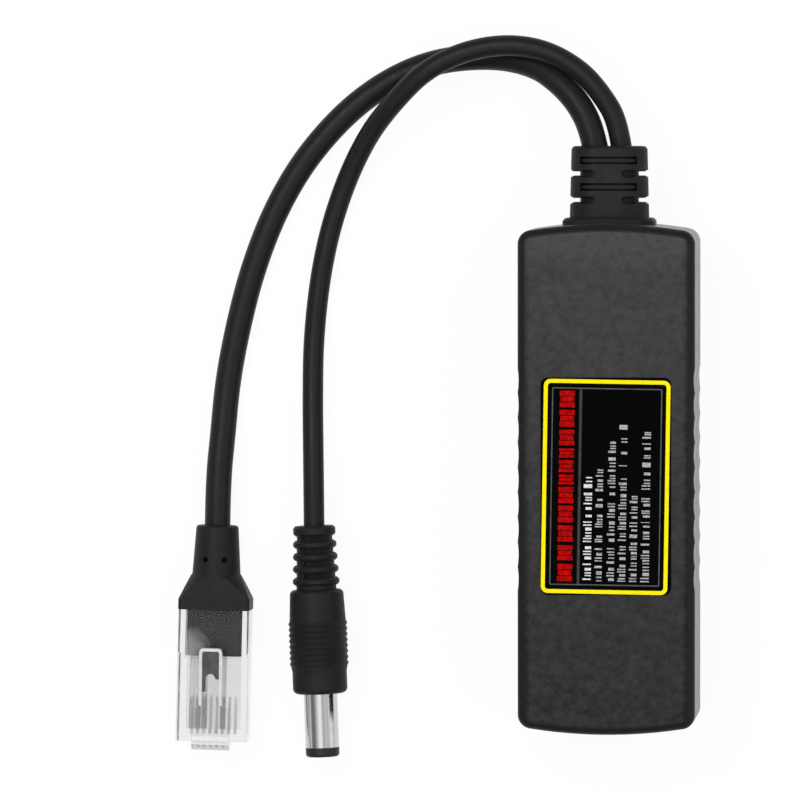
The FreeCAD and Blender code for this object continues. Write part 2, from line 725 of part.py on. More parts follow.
def lower_shell():
    body = new_body("lower_shell")
    outline = new_sketch(body, "outline")
    bulged_outline(outline, 0)
    pad(body, outline, dim.seam_height)
    round_edges(body, dim.corner_radius, upright)
    round_edges(body, dim.rim_radius, level_at(0))
    cut_flutes(body)
    round_edges(body, dim.seam_bevel, level_at(dim.seam_height), bevel=True)
    hollow = new_sketch(body, "hollow", offset=dim.seam_height)
    bulged_outline(hollow, dim.wall)
    pocket(body, hollow, dim.seam_height - dim.panel)
    tongue = new_sketch(body, "tongue", offset=dim.seam_height)
    bulged_outline(tongue, dim.wall - dim.tongue_wall)
    bulged_outline(tongue, dim.wall)
    pad(body, tongue, dim.tongue_height)
    boss = new_sketch(body, "boss", offset=dim.panel)
    for x, y in boss_places:
        circle(boss, x, y, dim.boss_width)
    pad(body, boss, dim.board_lift - dim.panel)
    pins = new_sketch(body, "pin", offset=dim.board_lift)
    for x, y in boss_places:
        circle(pins, x, y, dim.pin_width)
    pad(body, pins, dim.board_thickness + dim.pin_rise)
    socket_window(body)
    gland_notch(body)
    return body


def upper_shell():
    body = new_body("upper_shell")
    outline = new_sketch(body, "outline", offset=dim.seam_height)
    bulged_outline(outline, 0)
    pad(body, outline, dim.body_height - dim.seam_height)
    round_edges(body, dim.corner_radius, upright)
    round_edges(body, dim.rim_radius, level_at(dim.body_height))
    cut_flutes(body)
    round_edges(body, dim.seam_bevel, level_at(dim.seam_height), bevel=True)
    hollow = new_sketch(body, "hollow", offset=dim.seam_height)
    bulged_outline(hollow, dim.wall)
    pocket(body, hollow, dim.body_height - dim.seam_height - dim.panel, forward=True)
    rebate = new_sketch(body, "rebate", offset=dim.seam_height)
    bulged_outline(rebate, dim.wall - dim.tongue_wall - dim.seam_play)
    pocket(body, rebate, dim.tongue_height + dim.seam_play, forward=True)
    posts = new_sketch(body, "post", offset=board_top)
    bore = dim.pin_width + 2 * dim.pin_play
    for x, y in boss_places:
        circle(posts, x, y, bore + 2 * dim.post_wall)
        circle(posts, x, y, bore)
    pad(body, posts, dim.body_height - dim.panel - board_top)
    socket_window(body)
    gland_notch(body)
    return body


def label():
    body = new_body("label")
    outline = new_sketch(body, "outline", offset=dim.body_height)
    rounded_rectangle(outline, 0, dim.label_place, dim.label_width, dim.label_length,
                      dim.label_corner)
    pad(body, outline, dim.label_thickness)
    return body


# Cord gland: a ribbed sleeve whose slots lie by turns on its faces and on its sides


def cable_gland():
    body = new_body("cable_gland")
    tip = end + dim.gland_reach
    face = end + dim.flange_thickness
    middle = dim.seam_height
    flange = new_sketch(body, "flange", offset=middle)
    end_plate(flange, dim.flange_width / 2, 0, dim.flange_thickness)
    pad(body, flange, dim.flange_height, middle=True)
    round_edges(body, dim.flange_corner, lengthwise)
    round_edges(body, dim.flange_bevel, on_bulge(dim.flange_thickness), bevel=True)
    root_y = face - dim.flange_thickness / 2
    neck = new_sketch(body, "neck", "XZ_Plane", offset=-root_y)
    stadium(neck, 0, middle, dim.neck_width, dim.neck_height)
    pad(body, neck, dim.flange_thickness / 2 + dim.wall + dim.back_flange / 2)
    back = new_sketch(body, "back", offset=middle)
    end_plate(back, dim.flange_width / 2, -dim.wall - dim.back_flange, -dim.wall)
    pad(body, back, dim.flange_height, middle=True)
    sleeve = new_sketch(body, "sleeve", "XZ_Plane", offset=-root_y)
    stadium(sleeve, 0, middle, dim.gland_width, dim.gland_height)
    pad(body, sleeve, tip - root_y, back=True, taper=dim.gland_taper)
    round_edges(body, dim.gland_round, across_at(tip))
    first = tip - dim.slot_start
    for name, side in (("top_slot", 1), ("bottom_slot", -1)):
        slot = new_sketch(body, name, offset=middle + side * dim.face_web / 2)
        centred_rectangle(slot, 0, first - 2 * dim.slot_pitch, dim.face_slot, dim.slot_width)
        cut = pocket(body, slot, dim.gland_height / 2, forward=side > 0)
        row_of(body, [cut], "Y_Axis", 2 * dim.slot_pitch, 2)
    side_y = first - 3 * dim.slot_pitch
    inner = dim.web_width / 2
    outer = dim.core_width / 2 - dim.slot_rim
    sides = new_sketch(body, "side_slot", offset=middle)
    for side in (-1, 1):
        stadium(sides, side * (inner + outer) / 2, side_y, outer - inner, dim.slot_width)
    cut = pocket(body, sides, dim.gland_height + OVERCUT, middle=True)
    row_of(body, [cut], "Y_Axis", 2 * dim.slot_pitch, 2)
    notches = new_sketch(body, "side_notch", offset=middle)
    for side in (-1, 1):
        polygon(notches, notch_outline(side, outer - dim.slot_width / 2, side_y))
    cut = pocket(body, notches, dim.gland_height + OVERCUT, middle=True)
    row_of(body, [cut], "Y_Axis", 2 * dim.slot_pitch, 2)
    core = new_sketch(body, "core", "XZ_Plane", offset=-root_y)
    stadium(core, 0, middle, dim.core_width, dim.core_height)
    pad(body, core, tip - root_y, back=True)
    return body


def notch_outline(side, start, y):
    """A narrow notch from inside the gland out to its side, with a wider mouth."""
    half = dim.notch_width / 2
    mouth = half + dim.notch_mouth
    edge = dim.gland_width / 2
    upper = [(start, half), (edge - dim.notch_slope, half), (edge, mouth), (edge + OVERCUT, mouth)]
    return ([(side * x, y + rise) for x, rise in upper]
            + [(side * x, y - rise) for x, rise in reversed(upper)])


# Socket for the incoming network cable


def jack_body():
    body = new_body("jack_body")
    block = new_sketch(body, "block", "XZ_Plane", offset=jack_front)
    half = dim.jack_width / 2
    rectangle(block, -half, half, board_top, board_top + dim.jack_height)
    pad(body, block, dim.jack_depth, back=True)
    cuts = (("port", dim.port_width, port_floor, port_roof, 0),
            ("latch_way", dim.latch_way, port_floor - dim.latch_step, port_floor, 0),
            ("tab_way", dim.tab_way, port_floor - dim.latch_step - dim.tab_step,
             port_floor - dim.latch_step, 0),
            ("well", dim.well_width, port_roof, port_roof + dim.well_height, dim.well_lip))
    for name, width, low, high, lip in cuts:
        sketch = new_sketch(body, name, "XZ_Plane", offset=jack_front - lip)
        rectangle(sketch, -width / 2, width / 2, low, high)
        pocket(body, sketch, dim.port_depth - lip)
    pegs = new_sketch(body, "peg", offset=board_top)
    for side in (-1, 1):
        circle(pegs, side * dim.peg_spacing / 2, peg_y, dim.peg_width)
    pad(body, pegs, dim.board_thickness, back=True)
    return body


def jack_contacts():
    """Springs under the ceiling of the well, each bent back and down into the opening."""
    body = new_body("jack_contacts")
    wire = dim.spring_wire
    ceiling = port_roof + dim.well_height
    front = dim.well_lip + wire - jack_front
    back = dim.port_depth - jack_front
    tip_y = front + dim.spring_reach
    tip_z = port_roof - dim.spring_dip
    sketch = new_sketch(body, "spring", "YZ_Plane", offset=-contact_row / 2)
    polygon(sketch, [(back, ceiling), (front + wire, ceiling), (front, ceiling - wire),
                     (tip_y, tip_z), (tip_y + wire / 2, tip_z + wire),
                     (front + 3 * wire, ceiling - wire), (back, ceiling - wire)])
    spring = pad(body, sketch, wire, middle=True)
    row_of(body, [spring], "X_Axis", dim.contact_pitch, dim.contact_count)
    return body


# Board and what stands on it


def circuit_board():
    body = new_body("circuit_board")
    outline = new_sketch(body, "outline", offset=dim.board_lift)
    rectangle(outline, -board_half, board_half, board_near, board_far)
    for x, y in boss_places:
        circle(outline, x, y, dim.pin_width + 2 * dim.pin_play)
    for side in (-1, 1):
        circle(outline, side * dim.peg_spacing / 2, peg_y, dim.peg_width + 2 * dim.pin_play)
    pad(body, outline, dim.board_thickness)
    return body


def blocks(name, places, width, length, height):
    """Moulded packages that stand on the board, with bevelled top edges."""
    body = new_body(name)
    outline = new_sketch(body, "outline", offset=board_top)
    for x, y in places:
        centred_rectangle(outline, x, y, width, length)
    pad(body, outline, height)
    round_edges(body, dim.lead_sheet, level_at(board_top + height), bevel=True)
    return body


def lead_profile(sketch, start, toward, rise):
    """A flat lead from the side of a package down to the board, in the plane of its bend."""
    sheet_gauge = dim.lead_sheet
    bend = start + toward * dim.lead_reach / 2
    foot = start + toward * dim.lead_reach
    top = board_top + rise
    polygon(sketch, [(start, top), (bend, top), (bend, board_top + sheet_gauge),
                     (foot, board_top + sheet_gauge), (foot, board_top),
                     (bend - toward * sheet_gauge, board_top),
                     (bend - toward * sheet_gauge, top - sheet_gauge),
                     (start, top - sheet_gauge)])


def data_transformer():
    places = [(0, board_near + dim.magnetics_place)]
    return blocks("data_transformer", places, dim.magnetics_width, dim.magnetics_length,
                  dim.magnetics_height)


def data_transformer_leads():
    body = new_body("data_transformer_leads")
    first = -(dim.lead_count - 1) * dim.lead_pitch / 2
    for name, toward in (("near", -1), ("far", 1)):
        sketch = new_sketch(body, name, "YZ_Plane", offset=first)
        start = board_near + dim.magnetics_place + toward * dim.magnetics_length / 2
        lead_profile(sketch, start, toward, dim.magnetics_height / 2)
        lead = pad(body, sketch, dim.lead_width, middle=True)
        row_of(body, [lead], "X_Axis", dim.lead_pitch, dim.lead_count)
    return body


def transformer_core():
    """A ferrite frame with a middle limb."""
    body = new_body("transformer_core")
    sketch = new_sketch(body, "frame", "XZ_Plane", offset=-(board_near + dim.transformer_y))
    x = transformer_x
    half = dim.core_block / 2
    limb = dim.core_limb
    top = board_top + dim.core_rise
    rectangle(sketch, x - half, x + half, board_top, top)
    rectangle(sketch, x - half + limb, x - limb, board_top + limb, top - limb)
    rectangle(sketch, x + limb, x + half - limb, board_top + limb, top - limb)
    pad(body, sketch, dim.core_depth, middle=True)
    return body


bobbin_foot = board_top + dim.core_limb + dim.core_gap
bobbin_rise = dim.core_rise - 2 * dim.core_limb - 2 * dim.core_gap
bobbin_width = dim.core_block - 2 * dim.core_limb - 2 * dim.core_gap
bobbin_hole = (2 * dim.core_limb + 2 * dim.core_gap, dim.core_depth + 2 * dim.core_gap)
bobbin_tube = (bobbin_hole[0] + 2 * dim.bobbin_sheet, bobbin_hole[1] + 2 * dim.bobbin_sheet)


def transformer_bobbin():
    """The former round the middle limb: a square tube between two flanges."""
    body = new_body("transformer_bobbin")
    x = transformer_x
    y = board_near + dim.transformer_y
    block = new_sketch(body, "block", offset=bobbin_foot)
    centred_rectangle(block, x, y, bobbin_width, dim.bobbin_length)
    pad(body, block, bobbin_rise)
    waist = new_sketch(body, "waist", offset=bobbin_foot + dim.bobbin_sheet)
    centred_rectangle(waist, x, y, bobbin_width + OVERCUT, dim.bobbin_length + OVERCUT)
    centred_rectangle(waist, x, y, *bobbin_tube)
    pocket(body, waist, bobbin_rise - 2 * dim.bobbin_sheet, forward=True)
    hole = new_sketch(body, "hole", offset=bobbin_foot)
    centred_rectangle(hole, x, y, *bobbin_hole)
    pocket(body, hole, bobbin_rise, forward=True)
    return body


def transformer_winding():
    """The wound copper between the flanges, under its tape."""
    body = new_body("transformer_winding")
    x = transformer_x
    y = board_near + dim.transformer_y
    coil = new_sketch(body, "coil", offset=bobbin_foot + dim.bobbin_sheet)
    rounded_rectangle(coil, x, y, bobbin_width - 2 * dim.core_gap, dim.winding_length,
                      dim.winding_corner)
    centred_rectangle(coil, x, y, *bobbin_tube)
    pad(body, coil, bobbin_rise - 2 * dim.bobbin_sheet)
    return body


def transformer_pins():
    """Two rows of pins that carry the bobbin on the board."""
    body = new_body("transformer_pins")
    sketch = new_sketch(body, "pin", offset=board_top)
    inset = (dim.bobbin_length + dim.core_depth) / 4
    first = transformer_x - (dim.bobbin_pin_count - 1) * dim.bobbin_pin_pitch / 2
    for side in (-1, 1):
        centred_rectangle(sketch, first, board_near + dim.transformer_y + side * inset,
                          dim.bobbin_pin, dim.bobbin_pin)
    pair = pad(body, sketch, dim.core_limb + dim.core_gap)
    row_of(body, [pair], "X_Axis", dim.bobbin_pin_pitch, dim.bobbin_pin_count)
    return body


def cans(name, places, width, height):
    """Upright capacitor cans with a rolled groove near the foot."""
    body = new_body(name)
    outline = new_sketch(body, "can", offset=board_top)
    for x, y in places:
        circle(outline, x, y, width)
    pad(body, outline, height)
    round_edges(body, dim.groove_depth, level_at(board_top + height), bevel=True)
    groove = new_sketch(body, "groove", offset=board_top + dim.groove_lift)
    for x, y in places:
        circle(groove, x, y, width + dim.groove_depth)
        circle(groove, x, y, width - 2 * dim.groove_depth)
    pocket(body, groove, 2 * dim.groove_depth, forward=True)
    return body


def output_capacitors():
    places = [(can_x, can_y), (can_x + dim.can_pitch, can_y)]
    return cans("output_capacitors", places, dim.can_width, dim.can_height)


def input_capacitor():
    places = [(dim.input_can_x - board_half, board_near + dim.input_can_y)]
    return cans("input_capacitor", places, dim.input_can_width, dim.input_can_height)


def output_choke():
    """A drum core: two discs on a narrow waist."""
    body = new_body("output_choke")
    sketch = new_sketch(body, "profile", "XZ_Plane")
    disc, waist = dim.choke_width / 2, dim.choke_waist / 2
    low, high = board_top + dim.choke_disc, board_top + dim.choke_height - dim.choke_disc
    top = board_top + dim.choke_height
    polygon(sketch, [(0, board_top), (disc, board_top), (disc, low), (waist, low),
                     (waist, high), (disc, high), (disc, top), (0, top)])
    revolve(body, sketch, "Z_Axis")
    stand_at(body, choke_x, can_y)
    return body


def choke_winding():
    body = new_body("choke_winding")
    sketch = new_sketch(body, "coil", offset=board_top + dim.choke_disc)
    circle(sketch, 0, 0, dim.choke_width - 2 * dim.lead_sheet)
    circle(sketch, 0, 0, dim.choke_waist)
    pad(body, sketch, dim.choke_height - 2 * dim.choke_disc)
    stand_at(body, choke_x, can_y)
    return body


def stand_at(body, x, y):
    """Move an upright body over a place on the board."""
    bind(body, "Placement.Base.x", x)
    bind(body, "Placement.Base.y", y)
    document.recompute()


def bridge_rectifiers():
    y = board_near + dim.magnetics_place
    places = [(side * (board_half - dim.bridge_x), y) for side in (-1, 1)]
    return blocks("bridge_rectifiers", places, dim.bridge_width, dim.bridge_length,
                  dim.bridge_height)


def controller_chip():
    places = [(dim.chip_x - board_half, board_near + dim.chip_y)]
    return blocks("controller_chip", places, dim.chip_width, dim.chip_length, dim.chip_height)


def controller_leads():
    """The chip's two rows of flat leads."""
    body = new_body("controller_leads")
    x = dim.chip_x - board_half
    first = board_near + dim.chip_y - (dim.chip_lead_count - 1) * dim.chip_pitch / 2
    for name, toward in (("left", -1), ("right", 1)):
        sketch = new_sketch(body, name, "XZ_Plane", offset=-first)
        lead_profile(sketch, x + toward * dim.chip_width / 2, toward,
                     dim.chip_height / 2 + dim.lead_sheet)
        lead = pad(body, sketch, dim.lead_width, middle=True)
        row_of(body, [lead], "Y_Axis", dim.chip_pitch, dim.chip_lead_count)
    return body


def optocoupler():
    places = [(dim.coupler_x, board_near + dim.row_y)]
    return blocks("optocoupler", places, dim.coupler_width, dim.coupler_length,
                  dim.coupler_height)


def output_diode():
    places = [(board_half - dim.diode_x, board_near + dim.row_y)]
    return blocks("output_diode", places, dim.diode_width, dim.diode_length, dim.diode_height)


def chip_resistors():
    body = new_body("chip_resistors")
    first = -(dim.resistor_count - 1) * dim.resistor_pitch / 2
    outline = new_sketch(body, "outline", offset=board_top)
    centred_rectangle(outline, first, board_far - dim.resistor_y, dim.resistor_width,
                      dim.resistor_length)
    piece = pad(body, outline, dim.resistor_height)
    row_of(body, [piece], "X_Axis", dim.resistor_pitch, dim.resistor_count)
    return body


# Data plug, in its own frame: the cord enters at the origin and the plug points along -Y


def data_plug_boot():
    """A round sleeve that flares, clipped by flats above and below and by slanting flanks."""
    body = new_body("data_plug_boot")
    profile = new_sketch(body, "profile")
    full = dim.boot_flare / 2
    polygon(profile, [(0, 0), (dim.boot_entry / 2, 0), (dim.boot_waist / 2, -dim.flare_start),
                      (full, -dim.flare_end), (full, -dim.boot_length), (0, -dim.boot_length)])
    revolve(body, profile)
    round_edges(body, dim.boot_round, across_at(0))
    flats = new_sketch(body, "flats", "XZ_Plane", offset=dim.flare_start - OVERCUT)
    circle(flats, 0, 0, 2 * dim.boot_flare)
    rounded_rectangle(flats, 0, 0, dim.plug_width, dim.boot_height, dim.boot_round)
    pocket(body, flats, dim.boot_length - dim.flare_start + 2 * OVERCUT, forward=True)
    flanks = new_sketch(body, "flanks")
    for side in (-1, 1):
        waist = side * (dim.boot_waist / 2 + dim.flank_ease)
        polygon(flanks, [(waist, -dim.flare_start), (side * dim.plug_width / 2, -dim.flank_end),
                         (side * dim.boot_flare, -dim.flank_end),
                         (side * dim.boot_flare, -dim.flare_start)])
    pocket(body, flanks, dim.boot_flare, middle=True)
    dimples = new_sketch(body, "dimple", offset=dim.boot_entry / 2 - dim.dimple_depth)
    for side in (-1, 1):
        circle(dimples, side * dim.dimple_spacing / 2, -dim.dimple_place, dim.dimple_width)
    pocket(body, dimples, dim.boot_height, forward=True)
    return body


def data_plug_body():
    """The clear plug: a block with a room for the jacket, wires and blades, and its latch."""
    body = new_body("data_plug_body")
    back = dim.boot_length
    front = back + dim.plug_length
    half = dim.plug_height / 2
    width = dim.plug_width / 2
    block = new_sketch(body, "block", "XZ_Plane", offset=back)
    rectangle(block, -width, width, -half, half)
    pad(body, block, dim.plug_length)
    round_edges(body, dim.plug_round, lengthwise)
    step = new_sketch(body, "step", "XZ_Plane", offset=back)
    for side in (-1, 1):
        rectangle(step, -width - OVERCUT, width + OVERCUT, side * half - dim.plug_step_drop,
                  side * half + dim.plug_step_drop)
    pocket(body, step, dim.plug_step, forward=True)
    room = new_sketch(body, "room", "XZ_Plane", offset=back)
    centred_rectangle(room, 0, 0, dim.cable_room_width, dim.cable_room_height)
    pocket(body, room, dim.cable_room_length, forward=True)
    wire_floor = dim.wire_room_floor - half
    wire_start = back + dim.cable_room_length - OVERCUT
    wire_room = new_sketch(body, "wire_room", "XZ_Plane", offset=wire_start)
    rectangle(wire_room, -contact_row / 2 - dim.wire_width, contact_row / 2 + dim.wire_width,
              wire_floor, wire_floor + dim.wire_room_height)
    pocket(body, wire_room, front - dim.wire_room_end - wire_start, forward=True)
    slot = new_sketch(body, "blade_slot", offset=-half - OVERCUT)
    centred_rectangle(slot, -contact_row / 2, -(front - dim.blade_front - dim.blade_length / 2),
                      dim.blade_thickness + 2 * dim.blade_play,
                      dim.blade_length + 2 * dim.blade_play)
    slot_height = dim.wire_room_floor + dim.wire_room_height / 2 + OVERCUT
    cut = pocket(body, slot, slot_height, forward=True)
    row_of(body, [cut], "X_Axis", dim.contact_pitch, dim.contact_count)
    latch(body, front, half)
    return body


def latch(body, front, top):
    """The springy latch: a wide root that rolls back over the nose, and a narrow tab."""
    gauge = dim.latch_thickness
    nose = front + dim.nose_reach
    tail = dim.boot_length + dim.tab_tail
    shoulder = tail + dim.tab_length
    shoulder_top = top + dim.shoulder_rise
    tail_top = top + dim.tab_rise
    root_top = top + dim.nose_reach
    foot = dim.latch_foot
    root = new_sketch(body, "latch_root", "YZ_Plane")
    polygon(root, [(-front + gauge, foot), (-front, foot), (-nose, dim.nose_reach),
                   (-nose, root_top - gauge / 2), (-nose + gauge, root_top + gauge / 3),
                   (-shoulder, shoulder_top), (-shoulder, shoulder_top - gauge),
                   (-front + gauge, root_top - gauge), (-front + gauge, top - foot)])
    pad(body, root, dim.nose_width, middle=True)
    slope = (dim.tab_rise - dim.shoulder_rise) / dim.tab_length
    joint = -shoulder - gauge / 2
    joint_top = shoulder_top - slope * gauge / 2
    tab = new_sketch(body, "latch_tab", "YZ_Plane")
    polygon(tab, [(joint, joint_top), (-tail, tail_top), (-tail, tail_top - gauge),
                  (joint, joint_top - gauge)])
    pad(body, tab, dim.tab_width, middle=True)
    groove_middle = dim.tab_groove_length / 2
    groove_floor = shoulder_top + slope * groove_middle - dim.tab_groove_depth
    groove = new_sketch(body, "latch_groove", offset=groove_floor)
    stadium_upright(groove, 0, groove_middle - shoulder, dim.tab_groove, dim.tab_groove_length)
    pocket(body, groove, dim.tab_rise, forward=True)


def data_plug_contacts():
    body = new_body("data_plug_contacts")
    half = dim.plug_height / 2
    front = dim.boot_length + dim.plug_length
    blade = new_sketch(body, "blade", offset=dim.blade_recess - half)
    centred_rectangle(blade, -contact_row / 2, -(front - dim.blade_front - dim.blade_length / 2),
                      dim.blade_thickness, dim.blade_length)
    piece = pad(body, blade, dim.wire_room_floor - dim.blade_recess)
    row_of(body, [piece], "X_Axis", dim.contact_pitch, dim.contact_count)
    return body


def data_plug_wires():
    """The four wires of two pairs, from the jacket end to their blades."""
    body = new_body("data_plug_wires")
    height = dim.wire_room_floor - dim.plug_height / 2 + dim.wire_room_height / 2
    start = dim.boot_length + dim.jacket_end
    stop = dim.boot_length + dim.plug_length - dim.wire_room_end
    sketch = new_sketch(body, "wire", "XZ_Plane", offset=start)
    for contact in (0, 1, 2, 5):
        circle(sketch, contact * dim.contact_pitch - contact_row / 2, height, dim.wire_width)
    pad(body, sketch, stop - start)
    return body


def data_plug_core():
    """The flattened end of the cord's jacket inside the clear plug."""
    body = new_body("data_plug_core")
    sketch = new_sketch(body, "outline", "XZ_Plane", offset=dim.boot_length)
    rounded_rectangle(sketch, 0, 0, dim.cable_room_width - 2 * dim.room_play,
                      dim.cable_room_height - 2 * dim.room_play, dim.jacket_corner)
    pad(body, sketch, dim.jacket_end)
    return body


# Power plug, in its own frame: the cord enters at the origin and the plug points along -Y

relief_length = dim.ring_count * dim.ring_pitch + dim.relief_tail


def power_plug_grip():
    """Overmoulded grip with a ringed strain relief, fine ridges and a bore for the barrel."""
    body = new_body("power_plug_grip")
    profile = new_sketch(body, "profile")
    gap = dim.ring_pitch - dim.ring_width
    points = [(0, 0)]
    y = 0
    for ring in range(round(dim.ring_count.amount)):
        rise = ring * dim.grip_growth
        outer = dim.grip_ring / 2 + rise
        inner = dim.grip_valley / 2 + rise
        width = dim.ring_width + gap / 2 if ring == 0 else dim.ring_width
        points += [(outer, y), (outer, y - width), (inner, y - width), (inner, y - width - gap)]
        y = y - width - gap
    back = -relief_length
    points[-1] = (points[-1][0], back)
    stop = back - dim.grip_length
    points += [(dim.grip_back / 2, back), (dim.grip_swell / 2, back - dim.ridge_start)]
    for ridge in range(round(dim.ridge_count.amount)):
        start = back - dim.ridge_start - ridge * dim.ridge_pitch
        points += [(dim.grip_swell / 2 + dim.ridge_height, start - dim.ridge_pitch / 2),
                   (dim.grip_swell / 2, start - dim.ridge_pitch)]
    points += [(dim.grip_front / 2, back - dim.ridge_start - (dim.ridge_count + 1) * dim.ridge_pitch),
               (dim.grip_front / 2, stop), (0, stop)]
    polygon(profile, points)
    revolve(body, profile)
    smallest_ring = dim.grip_ring.amount / 2

    def ring_edge(edge):
        round_edge = hasattr(edge.Curve, "Radius") and edge.BoundBox.YLength < 1e-6
        if not round_edge or edge.BoundBox.YMin < back.amount + dim.relief_tail.amount:
            return False
        return edge.Curve.Radius > smallest_ring - dim.grip_growth.amount / 2
    round_edges(body, dim.ring_round, ring_edge, bevel=True)
    round_edges(body, dim.shoulder_round, lambda edge: across_at(back)(edge)
                and near(edge.Curve.Radius, dim.grip_back.amount / 2))
    round_edges(body, dim.grip_round, across_at(stop))
    windows = new_sketch(body, "window", offset=dim.power_cord_width / 2)
    place = -dim.ring_width - gap
    for number in range(round(dim.ring_count.amount) - 1):
        centred_rectangle(windows, 0, place - number * dim.ring_pitch, dim.window_width, gap)
    cut = pocket(body, windows, dim.grip_ring, forward=True)
    mirror(body, [cut], "XY_Plane")
    bore = new_sketch(body, "bore", "XZ_Plane", offset=-stop)
    circle(bore, 0, 0, dim.shank_width + 2 * dim.barrel_play)
    pocket(body, bore, dim.barrel_seat)
    return body


def turned(name, profile_points):
    """A body turned about the plug's axis."""
    body = new_body(name)
    sketch = new_sketch(body, "profile")
    polygon(sketch, profile_points)
    revolve(body, sketch)
    return body


plug_face = -(relief_length + dim.grip_length)
barrel_end = plug_face - dim.barrel_length
barrel_root = plug_face + dim.barrel_seat
tip_end = barrel_end - dim.tip_length


barrel_outer = dim.barrel_width / 2
barrel_inner = barrel_outer - dim.barrel_wall
shank_outer = dim.shank_width / 2
shank_inner = shank_outer - dim.barrel_wall
step_y = plug_face - dim.barrel_wall


def power_plug_barrel():
    """The metal barrel, stepped down to the shank that the grip is moulded on."""
    return turned("power_plug_barrel", [
        (shank_inner, barrel_root), (shank_outer, barrel_root), (shank_outer, plug_face),
        (barrel_outer, plug_face), (barrel_outer, barrel_end), (barrel_inner, barrel_end),
        (barrel_inner, step_y), (shank_inner, step_y)])


def power_plug_insulator():
    """The dark sleeve inside the barrel, whose ring closes the tip."""
    bore = dim.centre_hole / 2 + dim.centre_wall
    body = turned("power_plug_insulator", [
        (bore, barrel_root), (shank_inner, barrel_root), (shank_inner, step_y),
        (barrel_inner, step_y), (barrel_inner, barrel_end), (barrel_outer, barrel_end),
        (barrel_outer, tip_end), (bore, tip_end)])
    round_edges(body, dim.tip_round, lambda edge: across_at(tip_end)(edge)
                and near(edge.Curve.Radius, barrel_outer.amount))
    return body


def power_plug_centre_contact():
    """The sprung tube in the middle, closed at its root."""
    outer = dim.centre_hole / 2 + dim.centre_wall
    inner = dim.centre_hole / 2
    front = tip_end + dim.centre_recess
    floor = front + dim.centre_depth
    return turned("power_plug_centre_contact", [
        (0, barrel_root), (outer, barrel_root), (outer, front), (inner, front), (inner, floor),
        (0, floor)])


# Cords and wires: straight runs joined by tangent arcs

DATA_ROUTE = [
    (-2.2, 53.6, 11.5), (-3.9, 58.2, 11.2), (-7.3, 63.1, 10.0), (-12.5, 66.9, 7.2),
    (-20.0, 68.6, 3.9), (-30.6, 67.2, 2.2), (-41.0, 61.6, 2.1), (-49.5, 53.0, 2.1),
    (-55.1, 43.7, 2.1), (-58.9, 33.6, 2.1), (-61.3, 23.9, 2.1), (-63.0, 14.9, 2.1),
    (-63.7, 6.6, 2.7), (-64.4, -1.0, 3.8), (-64.5, -8.4, 3.9)]
POWER_ROUTE = [
    (1.9, 53.6, 11.5), (0.4, 59.6, 11.4), (-4.2, 65.8, 11.2), (-10.3, 69.2, 10.8),
    (-16.5, 70.2, 10.4), (-23.2, 69.3, 10.0), (-30.1, 66.6, 10.0), (-35.3, 61.2, 7.9),
    (-40.1, 55.1, 4.4), (-44.4, 46.1, 1.8), (-47.4, 35.6, 1.7), (-49.0, 23.1, 1.7),
    (-49.0, 12.2, 2.6), (-48.7, 1.7, 4.75), (-48.6, -8.4, 4.85)]
DATA_PLUG_TURN = -1.4
POWER_PLUG_TURN = 2.1
ARC_SHARE = 0.45
WIRE_SIDES = 6


def route_wire(points):
    """Straight runs with an arc at each bend, as wide as the shorter run beside it allows."""
    points = [Vector(*point) for point in points]
    edges = []
    radii = []
    here = points[0]
    for before, corner, after in zip(points, points[1:], points[2:]):
        inward = (before - corner).normalize()
        outward = (after - corner).normalize()
        shorter = min((before - corner).Length, (after - corner).Length)
        reach = ARC_SHARE * shorter
        turn = math.pi - inward.getAngle(outward)
        radii.append(reach / math.tan(turn / 2))
        start = corner + inward * reach
        stop = corner + outward * reach
        middle = (inward + outward).normalize()
        depth = radii[-1] / math.cos(turn / 2) - radii[-1]
        edges.append(Part.LineSegment(here, start).toShape())
        edges.append(Part.Arc(start, corner + middle * depth, stop).toShape())
        here = stop
    edges.append(Part.LineSegment(here, points[-1]).toShape())
    return Part.Wire(edges), radii


def round_section(start, direction, width):
    return Part.Wire(Part.makeCircle(width / 2, start, direction)), math.pi * width * width / 4


def plain_section(start, direction, width):
    """A section with few flat sides, for the thin wires that repeat inside the housing."""
    facing = Rotation(Vector(0, 0, 1), direction)
    step = 2 * math.pi / WIRE_SIDES
    corners = [start + facing.multVec(Vector(math.cos(step * side), math.sin(step * side), 0) * (width / 2))
               for side in range(WIRE_SIDES)]
    area = WIRE_SIDES / 2 * (width / 2) ** 2 * math.sin(step)
    return Part.makePolygon(corners + corners[:1]), area


def tube_shape(points, width, draw_section):
    path, radii = route_wire(points)
    start = Vector(*points[0])
    direction = Vector(*points[1]) - start
    section, area = draw_section(start, direction, width)
    tube = path.makePipeShell([section], True, False)
    expected = area * path.Length
    if abs(tube.Volume - expected) > 0.01 * expected:
        raise RuntimeError("a tube's volume differs from its section times its length")
    return tube, path.Length, radii


def end_cut(place, turn, width):
    """A block on the -Y side of a place on the cord's line, turned about Z."""
    side = 4 * width
    block = Part.makeBox(side, side, side)
    corner = Placement(Vector(-side / 2, -side, -side / 2), Rotation())
    block.Placement = Placement(Vector(*place), Rotation(Vector(0, 0, 1), turn)) * corner
    return block


